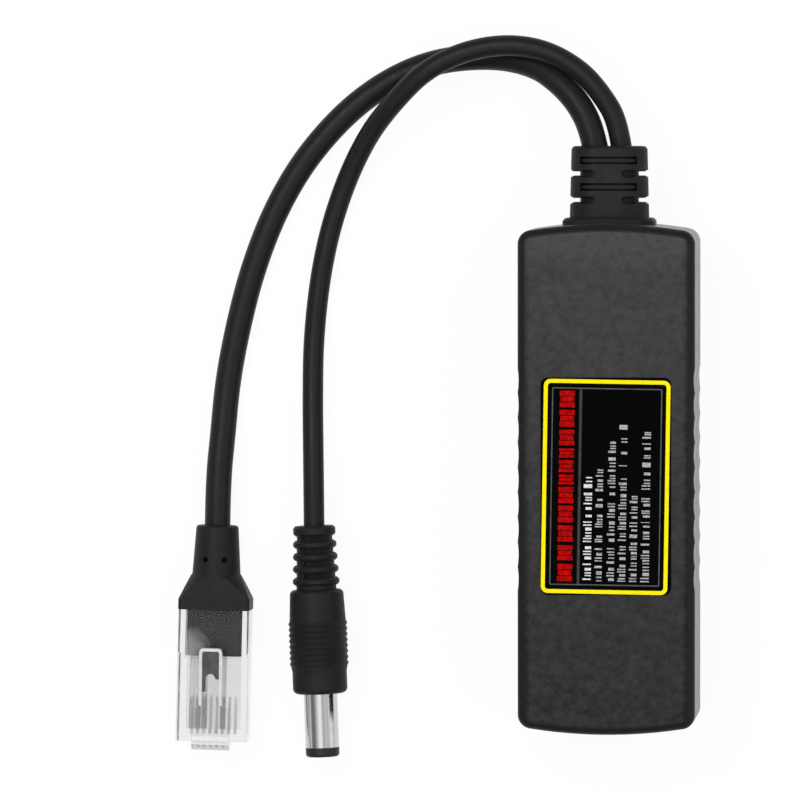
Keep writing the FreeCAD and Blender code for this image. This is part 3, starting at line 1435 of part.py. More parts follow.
def cord(name, points, width, turn):
    """A cord as one plain tube, cut flat where it meets the gland and its plug."""
    first, second = Vector(*points[0]), Vector(*points[1])
    before, last = Vector(*points[-2]), Vector(*points[-1])
    longer = [first + (first - second).normalize() * OVERCUT] + points[1:-1]
    longer.append(last + (last - before).normalize() * OVERCUT)
    shape, length, radii = tube_shape(longer, width.amount, round_section)
    shape = shape.cut([end_cut(points[0], 0, width.amount), end_cut(points[-1], turn, width.amount)])
    length = length - 2 * OVERCUT
    piece = document.addObject("Part::Feature", name)
    piece.Shape = shape
    piece.Placement = Placement()
    listed = ", ".join(f"{radius / width.amount:.1f}" for radius in radii)
    print(f"{name}: {length:.1f} mm long, bends in diameters {listed}")
    return piece


def lead_wires(name, first, count):
    """Wires from the back of the gland down onto the board."""
    width = dim.lead_wire_width.amount
    radius = dim.end_radius - dim.wall - dim.back_flange - dim.lead_wire_play
    centre = end - dim.end_radius
    level = dim.seam_height.amount
    drop = (board_far - dim.lead_wire_drop).amount
    solids = []
    for number in range(round(count.amount)):
        x = first + number * dim.lead_wire_pitch
        start = (centre + root(radius * radius - x * x)).amount
        points = [(x.amount, start, level), (x.amount, drop, level),
                  (x.amount, drop, board_top.amount)]
        solids.append(tube_shape(points, width, plain_section)[0])
    piece = document.addObject("Part::Feature", name)
    piece.Shape = Part.Compound(solids)
    piece.Placement = Placement()
    return piece


def data_leads():
    return lead_wires("data_leads", dim.data_wire_x, dim.data_wire_count)


def power_leads():
    return lead_wires("power_leads", dim.power_wire_x, dim.power_wire_count)


# The whole part

HOUSING = [lower_shell, upper_shell, label, cable_gland, jack_body, jack_contacts]
INSIDE = [circuit_board, data_transformer, data_transformer_leads, transformer_core,
          transformer_bobbin, transformer_winding, transformer_pins, output_capacitors,
          input_capacitor, output_choke, choke_winding, bridge_rectifiers, controller_chip,
          controller_leads, optocoupler, output_diode, chip_resistors, data_leads, power_leads]
DATA_PLUG = [data_plug_boot, data_plug_body, data_plug_contacts, data_plug_wires,
             data_plug_core]
POWER_PLUG = [power_plug_grip, power_plug_barrel, power_plug_insulator,
              power_plug_centre_contact]


def build():
    pieces = [make() for make in HOUSING + INSIDE]
    for makers, route, turn in ((DATA_PLUG, DATA_ROUTE, DATA_PLUG_TURN),
                                (POWER_PLUG, POWER_ROUTE, POWER_PLUG_TURN)):
        for make in makers:
            piece = make()
            piece.Placement = Placement(Vector(*route[-1]), Rotation(Vector(0, 0, 1), turn))
            pieces.append(piece)
    pieces.append(cord("data_cord", DATA_ROUTE, dim.data_cord_width, DATA_PLUG_TURN))
    pieces.append(cord("power_cord", POWER_ROUTE, dim.power_cord_width, POWER_PLUG_TURN))
    document.recompute()
    return pieces


def check(pieces):
    """Stop on a failed feature, an empty or invalid shape, or a cut that removed nothing."""
    for item in document.Objects:
        if "Invalid" in item.State or "Error" in item.State:
            raise RuntimeError(f"{item.Name} failed: {item.State}")
        if item.TypeId in ("PartDesign::Pocket", "PartDesign::Groove"):
            if item.Shape.Volume > item.BaseFeature.Shape.Volume - 1e-4:
                raise RuntimeError(f"{item.Name} cuts nothing")
    for piece in pieces:
        if piece.Shape.isNull() or not piece.Shape.isValid() or not piece.Shape.Solids:
            raise RuntimeError(f"{piece.Label} has no valid solid")


def write(pieces):
    os.makedirs("parts", exist_ok=True)
    for piece in pieces:
        piece.Shape.exportStep(os.path.join("parts", f"{piece.Label}.step"))
        box = piece.Shape.BoundBox
        print(f"{piece.Label}: {len(piece.Shape.Solids)} solids, "
              f"{box.XLength:.1f} x {box.YLength:.1f} x {box.ZLength:.1f}")


pieces = build()
check(pieces)
write(pieces)
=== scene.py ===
"""Dressed model of an inline power splitter with a data cord and a power cord, in metres."""
import math

import bmesh
import bpy
from mathutils import Matrix, Vector


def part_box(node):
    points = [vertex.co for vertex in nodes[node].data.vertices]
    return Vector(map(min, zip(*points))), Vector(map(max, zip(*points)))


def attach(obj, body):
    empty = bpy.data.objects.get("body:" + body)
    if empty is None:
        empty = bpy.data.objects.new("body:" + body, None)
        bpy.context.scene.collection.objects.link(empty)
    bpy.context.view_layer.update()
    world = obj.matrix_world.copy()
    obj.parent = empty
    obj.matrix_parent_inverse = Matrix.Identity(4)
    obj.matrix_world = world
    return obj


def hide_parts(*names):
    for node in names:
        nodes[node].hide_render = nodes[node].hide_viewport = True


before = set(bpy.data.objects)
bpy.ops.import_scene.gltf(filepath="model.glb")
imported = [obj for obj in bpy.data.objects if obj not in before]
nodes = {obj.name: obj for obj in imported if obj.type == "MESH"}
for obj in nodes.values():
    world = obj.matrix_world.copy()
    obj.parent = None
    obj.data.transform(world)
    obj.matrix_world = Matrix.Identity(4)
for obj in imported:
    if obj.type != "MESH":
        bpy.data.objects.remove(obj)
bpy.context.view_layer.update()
scene = bpy.context.scene
scene.view_settings.view_transform = "Standard"

MM = 0.001
LABEL_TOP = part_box("label")[1].z


def add_object(name, data):
    """Put data into the scene as an object of that name."""
    item = bpy.data.objects.new(name, data)
    scene.collection.objects.link(item)
    return item


# Camera: almost overhead, a little beyond the far end and to the right

EYE = Vector((0.07690, 0.06806, 1.5))
AIM = Vector((-0.034889, 0.011973, 0.0))
ROLL = 0.00082
LENS = 414.3


def make_camera():
    data = bpy.data.cameras.new("camera")
    data.lens = LENS
    data.sensor_width = 36.0
    data.clip_start = 0.05
    data.clip_end = 20.0
    camera = add_object("camera", data)
    forward = (AIM - EYE).normalized()
    rough_up = Vector((math.sin(ROLL), math.cos(ROLL), 0.0))
    right = forward.cross(rough_up).normalized()
    up = right.cross(forward)
    camera.matrix_world = Matrix((
        (right.x, up.x, -forward.x, EYE.x), (right.y, up.y, -forward.y, EYE.y),
        (right.z, up.z, -forward.z, EYE.z), (0, 0, 0, 1)))
    scene.camera = camera


make_camera()

# Node trees

# Nearly all values of a noise texture lie between these two
NOISE_LOW = 0.3
NOISE_HIGH = 0.7


class Nodes:
    """A node tree with short calls for what the materials below repeat."""

    def __init__(self, tree):
        self.tree = tree
        self.tree.nodes.clear()

    def add(self, kind, **settings):
        node = self.tree.nodes.new(kind)
        for name, value in settings.items():
            setattr(node, name, value)
        return node

    def feed(self, socket, value):
        """Link a socket to another one, or give it a plain value."""
        if isinstance(value, bpy.types.NodeSocket):
            self.tree.links.new(value, socket)
        else:
            socket.default_value = value

    def put(self, node, values):
        """Set or link a node's inputs by name."""
        for name, value in values.items():
            self.feed(node.inputs[name], value)
        return node

    def place(self):
        """Object coordinates, in metres."""
        return self.add("ShaderNodeTexCoord").outputs["Object"]

    def split(self, vector):
        """The parts of a vector, named by their axis."""
        node = self.add("ShaderNodeSeparateXYZ")
        self.feed(node.inputs[0], vector)
        return node.outputs

    def levelness(self):
        """1 on level faces and 0 on upright ones."""
        normal = self.add("ShaderNodeNewGeometry").outputs["True Normal"]
        return self.math("ABSOLUTE", self.split(normal)["Z"])

    def noise(self, vector, scale, detail=3.0, roughness=0.5):
        node = self.add("ShaderNodeTexNoise")
        self.put(node, {"Vector": vector, "Scale": scale, "Detail": detail, "Roughness": roughness})
        return node.outputs["Fac"]

    def spread(self, value, low, high, start=NOISE_LOW, stop=NOISE_HIGH):
        """Carry what lies between start and stop over to between low and high."""
        node = self.add("ShaderNodeMapRange")
        self.put(node, {"Value": value, "From Min": start, "From Max": stop, "To Min": low,
                        "To Max": high})
        return node.outputs["Result"]

    def around(self, noise, middle, share):
        """A value that a noise moves up or down by a share of itself."""
        return self.spread(noise, middle * (1 - share), middle * (1 + share))

    def math(self, operation, first, second=0.0):
        node = self.add("ShaderNodeMath", operation=operation)
        for socket, value in zip(node.inputs, (first, second)):
            self.feed(socket, value)
        return node.outputs[0]

    def plus(self, first, second):
        return self.math("ADD", first, second)

    def minus(self, first, second):
        return self.math("SUBTRACT", first, second)

    def times(self, first, second):
        return self.math("MULTIPLY", first, second)

    def stirred(self, value, noise, reach):
        """A value that a noise moves up or down, so that its edges aren't straight."""
        return self.plus(value, self.times(self.minus(noise, 0.5), reach))

    def ramp(self, value, stops, mode="LINEAR"):
        """Colours along a value, each at its place between 0 and 1."""
        node = self.add("ShaderNodeValToRGB")
        node.color_ramp.interpolation = mode
        elements = node.color_ramp.elements
        while len(elements) < len(stops):
            elements.new(0.5)
        for element, (place, color) in zip(elements, stops):
            element.position = place
            element.color = (*color, 1.0)
        self.feed(node.inputs["Fac"], value)
        return node.outputs["Color"]

    def bump(self, height, strength, distance):
        node = self.add("ShaderNodeBump")
        self.put(node, {"Height": height, "Strength": strength, "Distance": distance})
        return node.outputs["Normal"]

    def mix(self, share, first, second):
        """A mix of two shaders, with this share of the second."""
        node = self.add("ShaderNodeMixShader")
        for socket, value in zip(node.inputs, (share, first.outputs[0], second.outputs[0])):
            self.feed(socket, value)
        return node

    def finish(self, shader, kind="ShaderNodeOutputMaterial"):
        """Send a shader to the tree's output."""
        self.put(self.add(kind), {"Surface": shader.outputs[0]})

    def surface(self, values):
        """Finish the tree with a Principled shader that has these inputs."""
        self.finish(self.put(self.add("ShaderNodeBsdfPrincipled"), values))


def new_material(name):
    """A material and its empty node tree."""
    item = bpy.data.materials.new(name)
    item.use_nodes = True
    return item, Nodes(item.node_tree)


def grey(level):
    """A grey as red, green and blue."""
    return (level, level, level)


def shade(color, factor):
    """A colour made darker or paler, up to white."""
    return tuple(min(1.0, channel * factor) for channel in color)


# Materials

GRAIN_DEPTH = 0.00002


def material(name, color, roughness, metallic=0.0, variation=0.12, patch=120.0, grain=2500.0,
             grain_strength=0.25, specular=0.5, wear=0.25):
    """Moulded or plated surface: patchy colour, uneven gloss and a fine grain, with the scales of
    patches and grain per metre."""
    item, tree = new_material(name)
    place = tree.place()
    patches = tree.noise(place, patch)
    fine = tree.noise(place, grain, detail=2.0)
    tree.surface({
        "Base Color": tree.ramp(patches, [(NOISE_LOW, shade(color, 1 - variation)),
                                          (NOISE_HIGH, shade(color, 1 + variation))]),
        "Roughness": tree.around(tree.noise(place, patch * 3), roughness, wear),
        "Metallic": metallic, "Specular IOR Level": specular,
        "Normal": tree.bump(fine, grain_strength, GRAIN_DEPTH)})
    return item


# Tone of the housing: at -1 it is nearly black, at 0 its own colour, at 1 nearly twice as pale.
# Places are in metres from the middle of the housing. Slants run from 0, upright, to 1, level.

TONE_SHADES = (0.1, 1.9)  # factors on the colour at -1 and at 1
PAINTED_LIGHT_RISE = 11.4  # painted light: paler per metre towards the cord end
HIGHLIGHT_STRIP = (0.0335, 0.038)  # painted highlight where the top and walls turn paler before the cord end
HIGHLIGHT_TONE = 0.4
EDGE_SHADE_STRIP = (0.0122, 0.0131)  # painted shade where the top turns darker along its two long edges
EDGE_SHADE_TONE = 0.75
TOP_SLANT = (0.85, 0.97)
BLOTCH_TONE = 0.42
BLOTCH_RANGE = (0.32, 0.68)
WALL_CALM = 0.6  # how much of the blotches and the roughness is left on upright walls
WALL_SLANT = (0.05, 0.2)
# Painted shade darkens the rounded rims between these slants
RIM_FOOT = (0.1, 0.4)  # where a wall turns into a rounded rim
RIM_HEAD = (0.97, 0.997)  # where a rounded rim turns into a level face
RIM_SHADE_TONE = 0.7


def moulded(name, color, roughness, specular):
    """Spark-eroded moulding: soft blotches over a leathery grain, with painted light paler towards the
    cord end, a painted highlight just before that end, and painted shade darker round its edges."""
    item, tree = new_material(name)
    place = tree.place()
    blotch = tree.noise(place, 800.0, detail=4.0, roughness=0.6)
    leather = tree.noise(place, 1500.0, detail=3.0, roughness=0.6)
    fine = tree.noise(place, 4500.0, detail=2.0)
    spot = tree.split(place)
    level = tree.levelness()
    rim_shade = tree.times(tree.spread(level, 0.0, 1.0, *RIM_FOOT), tree.spread(level, 1.0, 0.0, *RIM_HEAD))
    calm = tree.spread(level, WALL_CALM, 1.0, *WALL_SLANT)
    blotches = tree.times(tree.spread(blotch, -BLOTCH_TONE, BLOTCH_TONE, *BLOTCH_RANGE), calm)
    # Painted shade along the top's two long edges
    edge_shade = tree.times(tree.spread(level, 0.0, EDGE_SHADE_TONE, *TOP_SLANT),
                        tree.spread(tree.math("ABSOLUTE", spot["X"]), 0.0, 1.0, *EDGE_SHADE_STRIP))
    # Random blotches, with painted light rising towards the cord end
    tone = tree.plus(tree.times(spot["Y"], PAINTED_LIGHT_RISE), blotches)
    # Painted highlight in a strip before the cord end
    tone = tree.plus(tone, tree.spread(spot["Y"], 0.0, HIGHLIGHT_TONE, *HIGHLIGHT_STRIP))
    tone = tree.minus(tone, edge_shade)
    # Painted shade on the rounded rims: their tone gives way to a fixed darkening
    tone = tree.times(tone, tree.minus(1.0, rim_shade))
    tone = tree.minus(tone, tree.times(rim_shade, RIM_SHADE_TONE))
    darkest, palest = [shade(color, factor) for factor in TONE_SHADES]
    relief = tree.plus(tree.times(leather, 0.8), tree.times(fine, 0.3))
    tree.surface({
        "Base Color": tree.ramp(tree.spread(tone, 0.0, 1.0, -1.0, 1.0),
                                [(0.0, darkest), (0.5, color), (1.0, palest)]),
        "Roughness": tree.times(tree.spread(blotch, roughness * 0.85, roughness * 1.1), calm),
        "Specular IOR Level": specular, "Normal": tree.bump(relief, 0.8, 0.00008)})
    return item


def plated(name, top, side, roughness):
    """Bright plating, darker on its upper face and paler on its flanks as painted reflection."""
    item, tree = new_material(name)
    place = tree.place()
    fine = tree.noise(place, 1600.0, detail=2.0)
    level = tree.stirred(tree.levelness(), fine, 0.04)
    # Painted reflection: the colour turns from the flanks' to the upper face's with slant
    tree.surface({
        "Base Color": tree.ramp(level, [(0.55, side), (0.9, top)]), "Metallic": 1.0,
        "Roughness": tree.around(tree.noise(place, 900.0), roughness, 0.3),
        "Normal": tree.bump(fine, 0.06, 0.00002)})
    return item


def clear(name):
    """Clear moulding: pale through its flats; painted shade greys its upright walls and round edges."""
    item, tree = new_material(name)
    haze = tree.noise(tree.place(), 350.0, detail=4.0)
    level = tree.stirred(tree.levelness(), haze, 0.12)
    # Painted shade: greyer where the faces turn upright
    tree.surface({
        "Base Color": tree.ramp(level, [(0.0, grey(0.72)), (0.5, grey(0.74)), (0.93, grey(0.82)),
                                        (1.0, grey(0.86))]),
        "Roughness": tree.spread(haze, 0.03, 0.10), "IOR": 1.19, "Transmission Weight": 0.98,
        "Normal": tree.bump(haze, 0.3, 0.00006)})
    return item


def pale_cornered_core(name, color, pale, middle, reach):
    """The flattened jacket end: dark, paler towards one corner."""
    item, tree = new_material(name)
    place = tree.place()
    fine = tree.noise(place, 900.0)
    apart = tree.add("ShaderNodeVectorMath", operation="DISTANCE")
    tree.feed(apart.inputs[0], place)
    tree.feed(apart.inputs[1], middle)
    away = tree.stirred(tree.math("DIVIDE", apart.outputs["Value"], reach), fine, 0.4)
    tree.surface({
        "Base Color": tree.ramp(away, [(0.25, pale), (1.0, color)]),
        "Roughness": tree.spread(fine, 0.4, 0.6), "Specular IOR Level": 0.02,
        "Normal": tree.bump(fine, 0.2, 0.00004)})
    return item


def striped(name, colors, start, pitch, translucent=0.0):
    """Insulated wires side by side across the housing, each in its own colour."""
    item, tree = new_material(name)
    place = tree.place()
    fine = tree.noise(place, 900.0)
    count = len(colors)
    along = tree.math("DIVIDE", tree.minus(tree.split(place)["X"], start), pitch * count)
    stops = [(index / count, color) for index, color in enumerate(colors)]
    tree.surface({
        "Base Color": tree.ramp(along, stops, "CONSTANT"), "Roughness": tree.around(fine, 0.4, 0.2),
        "Transmission Weight": translucent, "Normal": tree.bump(fine, 0.15, 0.00003)})
    return item


PALER_CORNER = (-0.0692, -0.0284, 0.0062)
PALER_REACH = 0.0038

HOUSING = moulded("housing_plastic", grey(0.026), 0.45, specular=0.12)
FOIL = material("label_foil", grey(0.001), 0.4, variation=0.15, patch=60.0, grain=1800.0,
                grain_strength=0.08, specular=0.012, wear=0.15)
RUBBER = material("soft_black", grey(0.012), 0.5, patch=400.0, grain=2600.0, grain_strength=0.3,
                  specular=0.12, wear=0.15)
JACKET = material("cord_jacket", grey(0.0118), 0.4, variation=0.08, patch=400.0, grain=2200.0,
                  grain_strength=0.15, specular=0.12, wear=0.15)
CORE = pale_cornered_core("jacket_end", grey(0.005), grey(0.36), PALER_CORNER, PALER_REACH)
CLEAR = clear("clear_plug")
GOLD = material("gold_contacts", (0.86, 0.60, 0.22), 0.22, metallic=1.0, grain_strength=0.1)
BLADES = material("plug_blades", (0.74, 0.73, 0.71), 0.35, metallic=1.0, grain_strength=0.1)
# The darker upper face and paler flanks of the nickel are painted reflection
NICKEL = plated("nickel", (0.355, 0.35, 0.345), (0.60, 0.59, 0.58), 0.13)
TIP = material("tip_black", grey(0.014), 0.38, grain_strength=0.2, specular=0.2)
SOCKET = material("socket_black", grey(0.02), 0.5, variation=0.08)
BOARD = material("board_green", (0.015, 0.12, 0.05), 0.4, variation=0.35, patch=700.0, grain=1500.0)
PACKAGE = material("package_black", grey(0.028), 0.55, variation=0.15, patch=400.0)
LEADS = material("tinned_leads", (0.72, 0.71, 0.69), 0.3, metallic=1.0, grain_strength=0.15)
FERRITE = material("ferrite", (0.07, 0.07, 0.075), 0.7, variation=0.25, patch=900.0, grain=1800.0,
                   grain_strength=0.5)
FORMER = material("bobbin", (0.05, 0.04, 0.03), 0.5)
TAPE = material("yellow_tape", (0.72, 0.48, 0.05), 0.35, variation=0.15, patch=500.0)
CAN = material("can_sleeve", (0.03, 0.035, 0.07), 0.35, variation=0.2, patch=300.0)
INNER = striped("plug_wires", [grey(0.95), grey(0.88), grey(0.95), grey(0.95), grey(0.95), grey(0.86)],
                start=-0.0689, pitch=0.00102, translucent=0.8)
HOOKUP = striped("hookup_wires", [(0.7, 0.3, 0.05), (0.85, 0.75, 0.6), (0.05, 0.35, 0.1),
                                  (0.6, 0.8, 0.65)], start=-0.0049, pitch=0.0016)
SUPPLY = striped("supply_wires", [(0.6, 0.03, 0.02), grey(0.02)], start=0.0017, pitch=0.0016)

SURFACES = {
    HOUSING: ["lower_shell", "upper_shell"],
    FOIL: ["label"],
    RUBBER: ["cable_gland", "data_plug_boot", "power_plug_grip"],
    CORE: ["data_plug_core"],
    CLEAR: ["data_plug_body"],
    GOLD: ["jack_contacts"],
    BLADES: ["data_plug_contacts"],
    NICKEL: ["power_plug_barrel", "power_plug_centre_contact"],
    TIP: ["power_plug_insulator"],
    SOCKET: ["jack_body"],
    BOARD: ["circuit_board"],
    PACKAGE: ["data_transformer", "bridge_rectifiers", "controller_chip", "optocoupler",
              "output_diode", "chip_resistors"],
    LEADS: ["data_transformer_leads", "transformer_pins", "controller_leads"],
    FERRITE: ["transformer_core", "output_choke"],
    FORMER: ["transformer_bobbin"],
    TAPE: ["transformer_winding", "choke_winding"],
    CAN: ["output_capacitors", "input_capacitor"],
    INNER: ["data_plug_wires"],
    HOOKUP: ["data_leads"],
    SUPPLY: ["power_leads"],
}
for surface, names in SURFACES.items():
    for name in names:
        slots = nodes[name].data.materials
        slots.clear()
        slots.append(surface)

# Cords, from the gland to their plugs


def cord(name, node, points, diameter):
    """A round cord on a smooth line, in place of a solid tube."""
    curve = bpy.data.curves.new(name, "CURVE")
    curve.dimensions = "3D"
    spline = curve.splines.new("NURBS")
    spline.points.add(len(points) - 1)
    for point, place in zip(spline.points, points):
        point.co = (*place, 1.0)
    spline.order_u = 3
    spline.use_endpoint_u = True
    spline.resolution_u = 14
    curve.bevel_depth = diameter / 2
    curve.bevel_resolution = 9
    curve.use_fill_caps = True
    curve.materials.append(JACKET)
    piece = add_object(name, curve)
    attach(piece, "root")
    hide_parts(node)
    return piece


DATA_ROUTE = [
    (-0.0021, 0.0522, 0.0115), (-0.0028, 0.0560, 0.0114), (-0.0048, 0.0602, 0.0108),
    (-0.0080, 0.0638, 0.0096), (-0.0125, 0.0669, 0.0072), (-0.0200, 0.0683, 0.0039),
    (-0.0307, 0.0671, 0.0022), (-0.0409, 0.0615, 0.0021), (-0.0493, 0.0528, 0.0021),
    (-0.0549, 0.0436, 0.0021), (-0.0588, 0.0336, 0.0021), (-0.0613, 0.0239, 0.0021),
    (-0.0630, 0.0149, 0.0021), (-0.0637, 0.0066, 0.0027), (-0.0644, -0.0010, 0.0038),
    (-0.0645, -0.0084, 0.0039)]
POWER_ROUTE = [
    (0.0021, 0.0522, 0.0115), (0.0014, 0.0575, 0.0115), (-0.0013, 0.0620, 0.0114),
    (-0.0047, 0.0659, 0.0112), (-0.0103, 0.0691, 0.0108), (-0.0165, 0.0701, 0.0104),
    (-0.0232, 0.0691, 0.0100), (-0.0298, 0.0661, 0.0100), (-0.0351, 0.0610, 0.0079),
    (-0.0400, 0.0550, 0.0044), (-0.0443, 0.0461, 0.0018), (-0.0473, 0.0356, 0.0017),
    (-0.0489, 0.0231, 0.0017), (-0.0490, 0.0122, 0.0026), (-0.0487, 0.0017, 0.00475),
    (-0.0486, -0.0084, 0.00485)]

data_cord = cord("data_cord_line", "data_cord", DATA_ROUTE, diameter=0.0042)
power_cord = cord("power_cord_line", "power_cord", POWER_ROUTE, diameter=0.0034)

# What the modelled pieces below share


def bridge(mesh, first, second):
    """Four-sided faces between two matching rings of vertices."""
    for index in range(len(first)):
        following = (index + 1) % len(first)
        mesh.faces.new((first[index], first[following], second[following], second[index]))


def finish_piece(name, mesh, surface):
    """Make the edited mesh a piece on the root body."""
    data = bpy.data.meshes.new(name)
    mesh.to_mesh(data)
    mesh.free()
    data.materials.append(surface)
    piece = add_object(name, data)
    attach(piece, "root")


def plate(name, outlines, surface):
    """A closed piece between two matching outlines, in metres."""
    mesh = bmesh.new()
    first, second = [[mesh.verts.new(place) for place in outline] for outline in outlines]
    mesh.faces.new(first)
    mesh.faces.new(second[::-1])
    bridge(mesh, second, first)
    bmesh.ops.recalc_face_normals(mesh, faces=mesh.faces)
    finish_piece(name, mesh, surface)


def arc(x, y, radius, start, stop, steps):
    """Points along an arc, its angles in degrees."""
    angles = [math.radians(start + (stop - start) * step / steps) for step in range(steps + 1)]
    return [(x + radius * math.cos(angle), y + radius * math.sin(angle)) for angle in angles]


# Label print in millimetres: a frame, thin lines, a column of title blocks and rows of plain bars

PRINT_LIFT = 0.00003
PRINT_TURN = Matrix.Rotation(math.radians(-0.9), 2)
PRINT_MIDDLE = Vector((-0.03, -1.0))
CORNER_STEPS = 6
STRIPS = 3
STRIP_GAP = 0.13
STRIP_INSET = 0.12
STROKE = 0.2
MARK_PITCH = 0.84
MARK_SHARE = 0.78
MARK_HEIGHTS = (1.0, 0.74, 0.74, 1.0, 0.78, 0.96, 0.74)
MARK_KINDS = ("thick", "pair", "thick", "thin", "pair", "thick", "thin", "pair", "pair", "thick", "pair")
MARK_TRIM = {"thick": 0.1, "thin": 0.2}


def on_label(x, y):
    """The print lies very slightly askew on the label."""
    flat = (PRINT_MIDDLE + PRINT_TURN @ (Vector((x, y)) - PRINT_MIDDLE)) * MM
    return (flat.x, flat.y, LABEL_TOP + PRINT_LIFT)


def print_shapes(name, outlines, surface):
    """Flat printed shapes on the label, each a closed outline with an optional hole."""
    mesh = bmesh.new()
    for outline, hole in outlines:
        outer = [mesh.verts.new(on_label(x, y)) for x, y in outline]
        if hole is None:
            mesh.faces.new(outer)
        else:
            bridge(mesh, outer, [mesh.verts.new(on_label(x, y)) for x, y in hole])
    bmesh.ops.recalc_face_normals(mesh, faces=mesh.faces)
    for face in mesh.faces:
        if face.normal.z < 0:
            face.normal_flip()
    finish_piece(name, mesh, surface)


def rounded(left, right, low, high, corner):
    """Outline of a rounded rectangle, anticlockwise."""
    centres = ((right - corner, low + corner, -90), (right - corner, high - corner, 0),
               (left + corner, high - corner, 90), (left + corner, low + corner, 180))
    return [point for x, y, start in centres
            for point in arc(x, y, corner, start, start + 90, CORNER_STEPS)]


def rounded_frame(left, right, low, high, width, corners):
    """A frame of even width, with an outer and an inner corner radius."""
    return (rounded(left, right, low, high, corners[0]),
            rounded(left + width, right - width, low + width, high - width, corners[1]))


def bar(left, right, low, high):
    """A plain rectangle without a hole."""
    return ([(left, low), (right, low), (right, high), (left, high)], None)


def blocks(left, right, spans):
    """Title blocks, each of three thin strips, with the middle one narrower."""
    shapes = []
    for low, high in spans:
        pitch = (high - low + STRIP_GAP) / STRIPS
        for number in range(STRIPS):
            start = low + number * pitch
            inset = STRIP_INSET if number == 1 else 0.0
            shapes.append(bar(left + inset, right - inset, start, start + pitch - STRIP_GAP))
    return shapes


def dashes(left, right, spans):
    """A row of small solid bars of uneven height and width."""
    shapes = []
    number = 0
    for low, high in spans:
        count = max(1, round((high - low) / MARK_PITCH))
        pitch = (high - low) / count
        for step in range(count):
            start = low + step * pitch
            stop = start + pitch * MARK_SHARE
            top = right - (right - left) * MARK_HEIGHTS[number % len(MARK_HEIGHTS)]
            kind = MARK_KINDS[number % len(MARK_KINDS)]
            if kind == "pair":
                bars = [(start, start + STROKE), (stop - STROKE, stop)]
            else:
                bars = [(start + MARK_TRIM[kind], stop - MARK_TRIM[kind])]
            shapes += [bar(top, right, *ends) for ends in bars]
            number += 1
    return shapes


YELLOW = material("print_yellow", (0.88, 0.76, 0.004), 0.45, variation=0.06, patch=900.0,
                  grain_strength=0.05, specular=0.03)
RED = material("print_red", (0.38, 0.0006, 0.0006), 0.36, variation=0.5, patch=1800.0,
               grain_strength=0.05, specular=0.02)
LINE = material("print_grey", grey(0.085), 0.36, variation=0.3, patch=500.0, grain_strength=0.05,
                specular=0.05)
DIM = material("print_dim", grey(0.038), 0.36, variation=0.25, patch=700.0, grain_strength=0.05,
               specular=0.05)
BOLD = material("print_white", grey(0.66), 0.36, variation=0.35, patch=2500.0, grain_strength=0.05,
                specular=0.05)
PALE = material("print_pale", grey(0.36), 0.36, variation=0.5, patch=2500.0, grain_strength=0.05,
                specular=0.05)

# Each frame and column as left, right, low and high, or as left and right
FRAME = (-10.22, 10.16, -18.32, 16.16)
FRAME_WIDTH = 0.64
FRAME_CORNERS = (1.1, 0.5)
HAIRLINE = (-8.87, 8.86, -16.98, 14.81)
HAIR = 0.18
HAIR_CORNERS = (0.25, 0.12)
DIVIDER = (-4.46, -4.02)
TITLE = (-7.62, -5.2)
TITLE_BLOCKS = [(11.6, 14.3), (8.5, 11.2), (5.5, 8.0), (3.5, 5.0), (1.2, 3.1), (-0.8, 0.8), (-3.8, -1.2),
                (-6.9, -4.2), (-10.0, -7.4), (-13.0, -10.6), (-16.4, -13.6)]
BOLD_ROW = (-3.55, -2.2, [(-1.4, 0.7), (-4.9, -1.8), (-6.2, -5.2), (-10.0, -6.5), (-12.9, -10.4),
                          (-16.3, -13.1)])
ROWS = [
    (-1.65, -0.45, [(-1.9, 1.9), (-4.5, -2.6), (-7.6, -5.3), (-10.0, -8.7), (-13.1, -10.6),
                    (-16.3, -13.4)]),
    (0.30, 1.52, [(4.3, 6.5), (1.2, 4.0), (-1.4, 1.0), (-2.5, -1.7), (-6.0, -3.5), (-10.0, -6.3),
                  (-13.6, -10.7), (-16.3, -13.8)]),
    (2.05, 3.35, [(8.1, 9.3), (6.1, 7.0), (4.1, 4.9), (2.1, 2.8), (-1.6, 0.7), (-4.6, -1.9), (-7.9, -4.9),
                  (-9.9, -8.3), (-12.9, -10.4), (-16.3, -13.3)]),
    (3.9, 5.15, [(-3.7, -2.3), (-6.2, -4.0), (-9.3, -6.5), (-12.7, -9.7), (-16.3, -13.0)]),
    (5.75, 7.15, [(6.7, 8.0), (4.9, 6.4), (3.6, 4.3), (2.1, 3.3), (0.7, 1.8), (-1.4, 0.4), (-4.2, -2.6),
                  (-6.0, -4.6), (-7.6, -6.3), (-9.4, -7.9), (-10.6, -9.7), (-13.4, -10.9),
                  (-16.3, -13.6)]),
]

print_shapes("label_frame", [rounded_frame(*FRAME, FRAME_WIDTH, FRAME_CORNERS)], YELLOW)
print_shapes("label_line", [rounded_frame(*HAIRLINE, HAIR, HAIR_CORNERS)], LINE)
print_shapes("label_divider", [bar(*DIVIDER, HAIRLINE[2] + HAIR, HAIRLINE[3] - HAIR)], DIM)
print_shapes("label_title", blocks(*TITLE, TITLE_BLOCKS), RED)
print_shapes("label_line_bold", dashes(*BOLD_ROW), BOLD)
print_shapes("label_lines_pale", [shape for row in ROWS for shape in dashes(*row)], PALE)

# Small pieces on the data plug, placed in the plug's own frame in millimetres

PLUG_PLACE = Vector((-64.5, -8.4, 3.9))
PLUG_TURN = Matrix.Rotation(math.radians(-1.4), 3, "Z")
TAB_TAIL = -19.7
TAB_TOP = 7.2
TAB_SLOPE = 1.6 / 9.9

